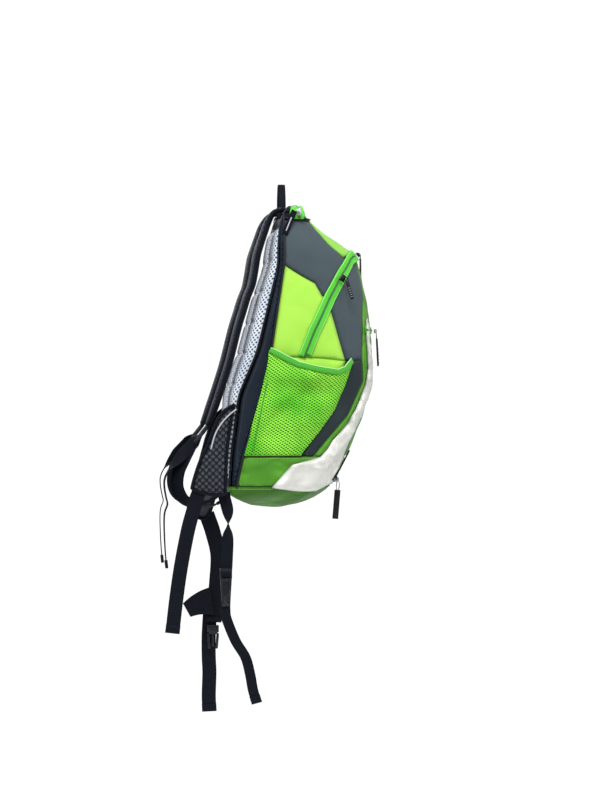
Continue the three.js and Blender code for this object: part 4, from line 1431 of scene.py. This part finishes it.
@dataclass
class Zips(Assembly):
    """Every zip: tapes, coils, sliders and pulls."""

    tape: float = 9.2
    AROUND = 125  # turns an angle round the pack into a length

    def build(self) -> None:
        """Builds the zips."""
        self._main()
        self._top()
        self._lower()

    def _line(self) -> Outline:
        """The U-shaped main zip as (phi, z), from the left end to the right end."""
        side = self.shell.template(self.seams.zip_side, 9)
        around = self.AROUND
        flat = [(p * around, z) for p, z in side]
        flat += [((math.pi / 2 - 0.34) * around, -109.8), (math.pi / 2 * around, -109)]
        mirror = [(math.pi * around - x, z) for x, z in flat[:-1]]
        line = rounded(flat + mirror[::-1], 3.0)
        return [(x / around, z) for x, z in line]

    def _main(self) -> None:
        """Main zip round the top of the folding front."""
        line = self._line()
        tape = ZIP_TAPE.make()
        rear = self.panels.strip("zip_tape_rear", line, 0.6, self.tape + 0.2, 2.0, tape)
        front = self.panels.strip("zip_tape_front", line[2:-2], -self.tape - 0.2, -0.6, 2.0,
                                  tape)
        coils = [self.panels.strip(name, line, sign * 0.05, sign * 1.0, 2.5, COIL.make(),
                                   cols=3, arch=0.4)
                 for sign, name in ((1, "coil_rear"), (-1, "coil_front"))]
        self.hang(join("main_zip_rear", [rear, coils[0]]), "pack", "zip_green",
                  "main_zip_tape_rear")
        self.hang(join("main_zip_front", [front, coils[1]]), "flap", "zip_green",
                  "main_zip_tape_front", folds=True)
        self._pull("main_slider_a", "main_pull_a", BLACK_CAST, (-0.16, 0.467, -0.869),
                   (-1, -0.2, 0.1), (-111.6, -88.3, -145.6), 34, 5.0, (0, 1, -0.3), RUBBER,
                   lean=0.3)
        self._pull("main_slider_b", "main_pull_b", BLACK_CAST, (1, 0, 0),
                   (0, -0.8, 0.6), (-18, -118.6, -107.5), 36, 5.0, (1, 0, 0), RUBBER)

    def _top(self) -> None:
        """Top zip over the crown, with its end tab."""
        side = [(-104, -58), (-101.5, -49), (-93, -42), (-80, -38.4), (-62, -36.4),
                (-40, -35.2), (0, -34.8)]
        whole = side + [(-x, z) for x, z in side[-2::-1]]
        path = rounded([(x, -19, z) for x, z in whole], 4)
        tape = sweep("top_tape", path, (0, 1, 0), 14, 1.2, ZIP_TAPE.make())
        way = np.gradient(path, axis=0)
        normal = np.cross(way, [0, 1, 0])
        normal /= -np.linalg.norm(normal, axis=1)[:, None]
        normal *= np.sign(normal[len(normal) // 2, 2])
        coil = sweep("top_coil", path + normal * 1.0, (0, 1, 0), 2.6, 1.4, COIL.make())
        self.hang(join("top_zip", [tape, coil]), "pack", "zip_green", "top_zip_tape")
        patch = self.shell.template(((-14, -42), (-12, -56.5), (-35, -56.5), (-32, -46),
                                     (-25, -40), (-17, -39.5)))
        for side_of in Side:
            cover = self.panels.cut("zip_end_" + side_of.value, patch, ZIP_CLOTH, lift=5.0,
                                    puff=2.0, side=side_of, inner=Inner.SAME, depth=6.5)
            self.hang(cover, "pack", "zip_green")
        ring = self.shell.template(((-5, -57), (-42, -57.5)))
        for side_of in Side:
            self.piping("crown_piping_" + side_of.value, ring, side_of, 1.6)
        self._pull("top_slider", "top_pull", DIE_CAST, (0, 0.3, 1), (-1, 0, 0.2),
                   (-111, -12, -47), 0, 0, (0, 1, 0), RUBBER)
        tab = sweep("top_tab", self.path([(-12, -46), (-8, -54), (-2, -68), (3, -81)], -111.4,
                                         2), (0, 1, 0.4), 9, 1.8, BINDING.make())
        mark = sweep("tab_line", self.path([(-7, -56), (-3, -66), (1, -76)], -112.6, 2),
                     (0, 1, 0.4), 1.6, 0.5, PIPING_GREY.make())
        self.hang(join("top_zip_tab", [tab, mark]), "top_pull", "pull_black", "top_pull")

    def _lower(self) -> None:
        """Zip across the folding front, and the one low on the front."""
        for name, node, z, start, body, width, finish, slot in (
                ("front_zip", "front_zip_tape", -222, 0.98, "flap", 4.8, ZIP_TAPE,
                 "zip_green"),
                ("bottom_zip", "bottom_zip_tape", -445, 1.08, "pack", 4.8, ZIP_DARK,
                 "fabric_black")):
            line = [(p, z) for p in np.linspace(start, math.pi - start, 70)]
            tape = self.panels.strip(name + "_cloth", line, -width, width, 2.6,
                                     finish.make(), cols=6)
            coil = self.panels.strip(name + "_coil", line, -1.5, 1.5, 3.2,
                                     (COIL if body == "flap" else COIL_DARK).make(), arch=0.6)
            parts = [tape, coil]
            if body == "pack":
                rise = self.shell.template(((-73, -445), (-84, -428), (-92, -411), (-97, -400)))
                parts += [self.panels.strip("rise", rise, -2.2, 2.6, 5.6, finish.make(), side,
                                            arch=0.8) for side in Side]
            self.hang(join(name, parts), body, slot, node)
        self._pull("front_slider", "front_pull", DIE_CAST, (1, 0, 0), (0, -1, 0),
                   (-30, -141.8, -223), 54, 8.0, (1, 0, 0), RUBBER, 12.0, 0.05)
        self._pull("bottom_slider", "bottom_pull", DIE_CAST, (1, 0, 0), (0, -0.9, -0.4),
                   (-24.1, -84.6, -449.9), 58, 9.0, (0, 1, 0.08), RUBBER, 14.0, -0.08)

    def _pull(self, slider: str, pull: str, finish: Moulded, along: Sequence[float],
              facing: Sequence[float], hook: Sequence[float], drop: float, width: float,
              across: Sequence[float], grip: Moulded, link: float = 6.0,
              lean: float = 0.0) -> None:
        """Slider with a ring and a flat moulded pull that hangs from it.

        Args:
            slider: slider node and piece.
            pull: pull node and piece.
            finish: metal of the slider.
            along: direction of the zip.
            facing: outward direction.
            hook: top of the pull.
            drop: length of the pull, or 0 for none.
            width: its width.
            across: direction of its width.
            grip: its finish.
            link: length of the wire link above it.
            lean: how far it hangs forward (-Y) for each unit down.
        """
        low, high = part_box(slider)
        out = Vector(facing).normalized()
        centre = Vector([(a + b) / 2 / MM for a, b in zip(low, high)]) + out * 1.2
        body = Bench.slider(slider + "_body", finish, centre, along, facing)
        self.hang(body, slider if slider != "top_slider" else "pack", "slider_metal", slider)
        if not drop:
            return
        top, turn = Vector(hook), Vector(across).normalized()
        up = Vector((0, lean, 1)).normalized()
        ring = [top + turn * 2.2 * math.sin(a)
                + up * ((link + 1.2) / 2 * math.cos(a) - link / 2 + 0.4)
                for a in np.linspace(0, 2 * math.pi, 24)]
        loop = cord_tube("loop", np.array([list(p) for p in ring]), 0.7, finish.make(), 6)
        size = (width, 2.0, drop - link)
        at = top - up * (link - 1 + (drop - link) / 2)
        out = turn.cross(up)
        flip = -1 if out.dot(Vector(facing)) < 0 else 1
        tag = Bench.bar("tag", grip, size, at, up, out * flip, 0.8)
        ribs = [Bench.bar("rib", PRINT, (width * 0.6, 0.7, 1.2),
                          at + out * flip * 1.5 + up * (drop * k), up,
                          out * flip, 0.2) for k in (-0.3, -0.2, -0.1, 0.0, 0.1)]
        self.hang(join(pull + "_tag", [loop, tag] + ribs), pull, "pull_black", pull)


@dataclass
class Harness(Assembly):
    """Back pads, shoulder straps, hip wings and all webbing."""

    pad_depth: Outline = field(default_factory=lambda: [
        (3, -72), (7, -107), (8, -121), (14, -174), (16, -245), (15, -280), (9, -335),
        (9, -410), (4, -442)])
    strap_line: Outline = field(default_factory=lambda: [
        (1, -42), (12, -44), (19, -50), (26, -63), (31, -77), (36.5, -93), (42, -111), (46, -135),
        (50, -155), (57, -173), (64, -196), (71, -219), (83, -267), (94, -303), (106, -339),
        (116, -364)])

    def build(self) -> None:
        """Builds the harness."""
        for side in Side:
            self._pad(side)
            self._strap(side)
        self._wings()
        self._belt()
        loop = [(-21, 1.5, -54), (-20.5, 0.5, -44), (-20, 0, -34), (-18, 0, -24),
                (-14, 0, -13), (-9, 0, -5.5), (-4, 0, -2), (0, 0, -1.2)]
        loop += [(-x, y, z) for x, y, z in loop[-2::-1]]
        haul = sweep("haul_webbing", rounded(loop, 1.5), (0, 1, 0), 10.7, 2.2,
                     STRAP_WEB.make())
        self.hang(haul, "pack", "webbing_black", "haul_loop")

    def _pad(self, side: Side) -> None:
        """Ribbed spacer-mesh pad on one half of the back."""
        rows, cols = 200, 40
        z = np.linspace(-72, -443, rows)
        yb, _, w = self.shell.section(z)
        table = np.array(self.pad_depth)[::-1]
        depth = np.interp(z, table[:, 1], table[:, 0])
        s = np.sin(np.linspace(-math.pi / 2, math.pi / 2, cols))
        x = (w - 7)[:, None] * (1 - (s + 1) / 2)[None] + 11.0 * ((s + 1) / 2)[None]
        ends = np.clip(np.minimum(-72 - z, z + 443) / 9, 0, 1) ** 0.5
        edge = (1 - np.abs(s) ** 7) ** 0.5
        body = depth[:, None] * ends[:, None] * edge[None]
        grooves = np.exp(-(((z + 96) % 46 - 23) / 2.6) ** 2)[:, None]
        body = body * (1 - 0.14 * grooves) + 0.9
        layers = (np.broadcast_arrays(x * side.sign, y, z[:, None])
                  for y in (yb[:, None] + body, (yb + 0.2)[:, None]))
        outer, inner = (np.stack(layer, axis=-1).reshape(-1, 3) for layer in layers)
        step = np.linalg.norm(np.diff(outer.reshape(rows, cols, 3), axis=1), axis=2)
        girth = np.concatenate([np.zeros((rows, 1)), np.cumsum(step, axis=1)], axis=1)
        girth -= girth[:, cols // 2:cols // 2 + 1]
        uv = np.stack([girth.ravel(), outer[:, 2]], axis=1)
        far = np.full(len(outer), CLEAR)
        pad = thick_sheet("spacer_pad_" + side.value, outer, inner, grid_faces(rows, cols),
                          grid_rim(rows, cols), [SPACER.make()], uv, edge=far, run=far)
        self.hang(pad, "pack", "spacer_mesh", "back_pad_" + side.value, fill=0.5)

    def _strap(self, side: Side) -> None:
        """Curved shoulder strap with its ladder-lock and lower webbing."""
        sign, end = side.sign, "_" + side.value
        body = "strap" + end
        n = len(self.strap_line)
        xs = [sign * (58 + 26 * i / (n - 1)) for i in range(n)]
        path = self.path(self.strap_line, xs, 5)
        at = np.linspace(0, n - 1, len(path))
        width = np.interp(at, [0, 1, 2, 3.4, 8, n - 1], [22, 26, 42, 60, 56, 34])
        thick = np.interp(at, [0, 1.5, n - 2, n - 1], [6, 11, 11, 7])
        core = sweep("core", path, (1, 0, 0), width, thick, STRAP_NET.make(), sides=12)
        edges = []
        for k in (-1, 1):
            rim = path + np.stack([k * (width / 2 + 0.2), width * 0, width * 0], axis=1)
            edges.append(cord_tube("bound", rim, 3.0, BINDING.make(), 10))
        stub = sweep("stub", self.path([(108, -345), (116, -362), (123, -374)], sign * 85, 3),
                     (1, 0, 0), 24, 3.0, STRAP_WEB.make())
        strap = join("shoulder_pad" + end, [core, stub] + edges)
        self.hang(strap, body, "strap_mesh", "shoulder_strap" + end, fill=0.55)
        x = 85 * sign
        lock = Bench.ladder("strap_lock" + end, (x, 125.5, -378), (0, 0.62, -0.78),
                            (0, 0.78, 0.62), 27, 33)
        self.hang(lock, body, "plastic_black", "ladder_lock" + end)
        lower = self.path([(128, -384), (138, -397.5), (148, -412), (158, -430),
                           (161.5, -451), (157.5, -467), (147, -478), (128, -484.5),
                           (108, -484), (92, -475)], x, 3)
        self._ribbon("anchor_webbing" + end, lower, 20, [0, 0.12, 0.3, 0.55, 0.8, 1],
                     [0, 30, 64, 64, 20, 0], sign, body, "lower_webbing" + end)
        tail = self.path([(124, -378), (133, -386), (143, -397), (159, -414), (173, -430),
                          (180, -444), (180.5, -457), (178, -472), (176, -482),
                          (180, -494), (181, -510), (180, -540), (178.5, -562),
                          (177, -577)], x, 3)
        self._ribbon("strap_end" + end, tail, 20, [0, 0.08, 0.2, 0.34, 1],
                     [0, 60, 66, 4, 0], sign, body, "strap_tail" + end)

    def _ribbon(self, name: str, path: Points, width: float, stations: Sequence[float],
                turns: Sequence[float], sign: float, body: str, node: str) -> None:
        """Webbing that twists about its own line and ends in a stitched fold.

        Args:
            name: piece name.
            path: its middle line.
            width: webbing width.
            stations: fractions of the path.
            turns: twist in degrees at each station.
            sign: side of the wearer.
            body: body it rides on.
            node: solid it stands for.
        """
        t = np.linspace(0, 1, len(path))
        angle = np.radians(np.interp(t, stations, turns)) * sign
        flat = np.tile([1.0, 0.0, 0.0], (len(path), 1))
        edge = np.cross(unit(np.gradient(path, axis=0)), flat)
        across = flat * np.cos(angle)[:, None] + edge * np.sin(angle)[:, None]
        self._web(name, path, across, width, body, node, 1.6)

    def _web(self, name: str, path: Points, across: Points | Sequence[float], width: float,
             body: str, node: str, thick: float = 1.8) -> None:
        """Webbing with a folded-back end.

        Args:
            name: piece name.
            path: its middle line.
            across: direction of its width.
            width: webbing width.
            body: body it rides on.
            node: solid it stands for.
            thick: webbing thickness.
        """
        band = sweep("band", path, across, width, thick, STRAP_WEB.make())
        self.hang(join(name, [band, self._fold(path, across, width)]), body, "webbing_black",
                  node)

    @staticmethod
    def _fold(path: Points, across: Points | Sequence[float], width: float,
              length: int = 5) -> bpy.types.Object:
        """Folded-back end of a webbing: a second layer with rounded edges."""
        end = path[-length:].copy()
        a = np.broadcast_to(np.array(across, float), (len(path), 3))[-length:]
        return sweep("fold", end, a, width + 0.6, 4.4, STRAP_WEB.make())

    def _wings(self) -> None:
        """Hip wings: padded net between a bound top edge and a piping curve."""
        left = [(78, -334), (86, -338), (96, -346), (106, -364), (116, -390), (130, -420),
                (140, -452), (139, -460), (120, -466), (93, -467), (91.5, -452),
                (88.5, -400), (83, -360)]
        right = [(77, -338), (85, -343), (94, -352), (103, -372), (112, -400), (122, -440),
                 (129, -492), (128, -502), (117, -511), (105, -506), (96, -480),
                 (90.5, -450), (88, -400), (83, -360)]
        for side, outline, mesh in ((Side.LEFT, left, WING_NET), (Side.RIGHT, right, RIB_NET)):
            self._wing(side, outline, mesh)

    def _wing(self, side: Side, outline: Outline, mesh: Net) -> None:
        """One wing, cut to a [y, z] outline, padded, with a slight waviness."""
        x0 = 114.5 * side.sign
        flat = np.array(outline, float)
        loop = rounded(np.vstack([flat, flat[:1]]), 3.5)[:-1]
        pts, faces, edge, run = self.panels.mesh(loop)
        fat = 5.4 * np.sqrt(np.clip(1 - np.exp(-edge / 5), 0, 1)) + 0.6
        wave = 0.6 * ripple(np.stack([pts[:, 0], pts[:, 1], pts[:, 0] * 0], axis=1), 40, 4)
        out = at_x(x0 + side.sign * (fat + wave), pts)
        inn = at_x(x0 - side.sign * fat * 0.9, pts)
        # the left pad's light grey is painted light in the net's openings
        net = mesh if side is Side.RIGHT else WING_FOAM_PAINTED_LIGHT
        pad = thick_sheet("pad", out, inn, faces, self.panels.rim(faces),
                          [net.make()], pts, edge=edge, run=run)
        cover = mesh_object("cover", out + [side.sign * 1.4, 0, 0], faces, [WING_NET.make()],
                            None, pts, edge=edge, run=run)
        thicken = cover.modifiers.new("thick", "SOLIDIFY")
        thicken.thickness = 0.5 * MM
        bpy.context.view_layer.objects.active = cover
        bpy.ops.object.modifier_apply(modifier="thick")
        rim = at_x(x0, np.vstack([loop, loop[:2]]))
        bound = sweep("bound", rim, (1, 0, 0), 12, 4.4, BINDING.make())
        line = rounded([(66, -335), (80, -344), (93, -356), (103, -370), (109, -384),
                        (113, -400)], 3)
        pipe = at_x(x0 + side.sign * 7.2, line)[4:]
        piping = cord_tube("piping", pipe, 1.1, PIPING_GREY.make())
        made = join("hip_pad_" + side.value, [pad, cover, bound, piping])
        self.hang(made, "wing_" + side.value, "strap_mesh", "hip_wing_" + side.value,
                  fill=0.4)

    def _belt(self) -> None:
        """Belt webbings, their tails and the two buckle halves."""
        web = STRAP_WEB.make()
        tail = self.path([(130, -462), (135, -474), (139, -490), (147, -520), (157, -572),
                          (164, -620), (170, -672)], -117, 3)
        self._web("wing_webbing_end", tail, (0, 1, 0.2), 21, "wing_tail_left",
                  "wing_tail_left")
        left = self.path([(93, -464), (92, -472.5), (89.5, -482), (87.5, -492), (87, -503),
                          (87, -517), (88, -545), (89.5, -577)], -107, 2)
        turn = np.clip(np.linspace(-0.15, 1.4, len(left)), 0, 1)
        turn = turn * turn * (3 - 2 * turn) * math.pi
        across = np.stack([np.sin(turn), np.cos(turn), 0 * turn], axis=1)
        around = np.linspace(0, 2 * math.pi, 16)
        wrap = np.stack([-107 + 5.0 * np.cos(around), 90 + 0 * around,
                         -583.5 + 8.0 * np.sin(around)], axis=1)
        self.hang(join("belt_webbing_left", [sweep("band", left, across, 18, 1.8, web),
                                             sweep("wrap", wrap, (0, 1, 0), 15, 1.6, web)]),
                  "belt_left", "webbing_black", "belt_strap_left")
        self.hang(Bench.buckle_socket("belt_socket", (-107, 90, -606)), "belt_left",
                  "plastic_black", "buckle_female")
        hook = self.path([(91, -626), (91, -639), (89, -652), (76, -684), (61, -709),
                          (54, -735), (50, -757), (44, -777)], -107, 3)
        self._web("belt_end_left", hook, (0.35, 0.94, 0), 16, "belt_left", "belt_tail_left")
        right = self.path([(108, -503), (104, -514), (98, -532), (90, -567), (92, -610),
                           (95, -640), (97, -671)], 112, 3)
        flap = self.path([(100, -638), (112, -640), (126, -645), (139, -652)], 106, 3)
        wide = np.linspace(44, 24, len(flap))
        self.hang(join("belt_webbing_right",
                       [sweep("band", right, (0, 1, 0), 24, 1.8, web),
                        sweep("loop", flap, (0, 0.25, 1), wide, 1.6, web),
                        self._fold(right, (0, 1, 0), 24, 4)]),
                  "belt_right", "webbing_black", "belt_strap_right")
        self.hang(Bench.buckle_plug("belt_plug", (112, 98, -694)), "belt_right",
                  "plastic_black", "buckle_male")
        end = self.path([(101, -640), (104, -690), (104, -725), (103, -750), (104, -785),
                         (103, -810)], 121, 3)
        self._web("belt_end_right", end, (0, 1, 0), 22, "belt_right", "belt_tail_right")


@dataclass
class Inside(Assembly):
    """Reservoir, its sleeve and the fittings inside the bag."""

    frame: dict = field(default_factory=dict)

    def build(self) -> None:
        """Builds the soft inner pieces and finishes the hard ones."""
        self._sleeve()
        self._reservoir()
        loop = sweep("hanger", self.path([(2, -96), (-4, -104), (-7, -118), (-8.5, -138)], 0,
                                         3), (1, 0, 0), 16, 1.8, STRAP_WEB.make())
        self.hang(loop, "pack", "webbing_black", "hanger_loop")
        for node, finish in (("frame_sheet", SHEET), ("fill_port", PORT),
                             ("fill_cap", ACETAL), ("outlet_valve", PORT),
                             ("hose_port", ACETAL)):
            piece = self.frame["nodes"][node]
            for i in range(len(piece.material_slots)):
                piece.material_slots[i].material = finish.make()
            LOG.info("%s keeps its solid", node)

    def _sleeve(self) -> None:
        """Stretch sleeve that holds the reservoir against the back."""
        z = np.linspace(-245, -433, 60)
        yb, _, w = self.shell.section(z)
        s = np.linspace(-1, 1, 40)
        x = s[None] * (w - 22)[:, None]
        y = np.repeat((yb - 42.2)[:, None], 40, axis=1)
        zz = np.repeat(z[:, None], 40, axis=1)
        pts = np.stack([x, y + 0.3 * np.sin(x / 9), zz], axis=-1).reshape(-1, 3)
        edge = np.minimum(-245 - pts[:, 2], 90)
        made = thick_sheet("sleeve_cloth", pts, pts + [0, 1.0, 0], grid_faces(60, 40),
                           grid_rim(60, 40), [LINING.make()], pts[:, [0, 2]], edge=edge,
                           run=pts[:, 0])
        self.hang(made, "pack", "lining_grey", "reservoir_sleeve")

    def _reservoir(self) -> None:
        """Film reservoir, swollen between its welded edges."""
        z = np.linspace(-150, -415, 80)
        yb, _, _ = self.shell.section(z)
        fill = np.interp(-z, [150, 160, 200, 245, 295, 335, 385, 405, 415],
                         [0.8, 5, 9.5, 11.5, 12.5, 12.5, 11.5, 6.5, 0.8])
        s = np.linspace(-1, 1, 48)
        swell = np.maximum(0.7, fill[:, None] * np.sqrt(np.clip(1 - s ** 4, 0, 1))[None])
        x = np.repeat(s[None] * 81, 80, axis=0)
        middle = (yb - 26)[:, None]
        zz = np.repeat(z[:, None], 48, axis=1)
        back = np.stack([x, middle + swell, zz], axis=-1).reshape(-1, 3)
        face = np.stack([x, middle - swell, zz], axis=-1).reshape(-1, 3)
        made = thick_sheet("water_bag", back, face, grid_faces(80, 48), grid_rim(80, 48),
                           [FILM.make()], back[:, [0, 2]])
        self.hang(made, "pack", "reservoir_film", "reservoir")


# ---------------------------------------------------------------- studio


@dataclass
class Studio:
    """Camera, soft lights and the pale floor."""

    aim: tuple[float, float, float] = (0.0, -0.0285, -0.327)
    distance: float = 5.0
    turn: float = 4.5
    lens: float = 148.2
    floor: float = -1.0

    def build(self) -> None:
        """Sets up the studio."""
        self._camera()
        self._light("key", (-2.0, 0.3, 2.1), 1.5, 86.0)
        self._light("front_fill", (-0.9, -2.4, 0.6), 1.6, 26.0)
        self._light("back_fill", (-0.6, 2.4, 0.3), 1.6, 18.0)
        self._light("far_side", (2.4, 0.2, 1.0), 1.8, 34.0)
        self._world()
        bpy.ops.object.select_all(action="DESELECT")
        bpy.ops.mesh.primitive_circle_add(vertices=96, radius=0.84, fill_type="NGON",
                                          location=(0, 0, self.floor))
        ground = bpy.context.active_object
        ground.name = "floor"
        finish = bpy.data.materials.new("pale_floor")
        finish.use_nodes = True
        shader = finish.node_tree.nodes["Principled BSDF"]
        shader.inputs["Base Color"].default_value = (0.93, 0.93, 0.93, 1)
        shader.inputs["Roughness"].default_value = 0.9
        shader.inputs["Emission Color"].default_value = (1, 1, 1, 1)
        shader.inputs["Emission Strength"].default_value = 0.12
        ground.data.materials.append(finish)

    def _camera(self) -> None:
        """Adds the camera, turned a little towards the wearer's side."""
        data = bpy.data.cameras.new("camera")
        data.lens = self.lens
        data.clip_end = 50
        camera = bpy.data.objects.new("camera", data)
        bpy.context.collection.objects.link(camera)
        a = math.radians(self.turn)
        aim = Vector(self.aim)
        camera.location = aim + Vector((-math.cos(a), math.sin(a), 0)) * self.distance
        camera.rotation_euler = (aim - camera.location).to_track_quat("-Z", "Y").to_euler()
        bpy.context.scene.camera = camera
        bpy.context.scene.view_settings.view_transform = "Standard"

    @staticmethod
    def _light(name: str, place: Sequence[float], size: float, power: float) -> None:
        """Adds one soft square light aimed at the pack."""
        data = bpy.data.lights.new(name, "AREA")
        data.size = size
        data.energy = power
        lamp = bpy.data.objects.new(name, data)
        bpy.context.collection.objects.link(lamp)
        lamp.location = place
        way = Vector((0, 0, -0.35)) - Vector(place)
        lamp.rotation_euler = way.to_track_quat("-Z", "Y").to_euler()

    @staticmethod
    def _world() -> None:
        """White surroundings that light the pack a little less than they show."""
        world = bpy.data.worlds.new("studio")
        bpy.context.scene.world = world
        world.use_nodes = True
        g = Graph(world.node_tree)
        back = world.node_tree.nodes["Background"]
        back.inputs["Color"].default_value = (1, 1, 1, 1)
        seen = g.node("LightPath").outputs["Is Camera Ray"]
        g.feed(back.inputs["Strength"], g.math("MULTIPLY_ADD", seen, 0.6, 0.45))


def main() -> None:
    """Builds the studio and the pack."""
    logging.basicConfig(level=logging.INFO, format="%(name)s: %(message)s")
    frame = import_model()
    Studio().build()
    shell = Shell()
    panels = Panels(shell)
    for kind in (PackBody, Pockets, Zips, Harness):
        kind(shell, panels).build()
    Inside(shell, panels, frame=frame).build()


if __name__ == "__main__":
    main()
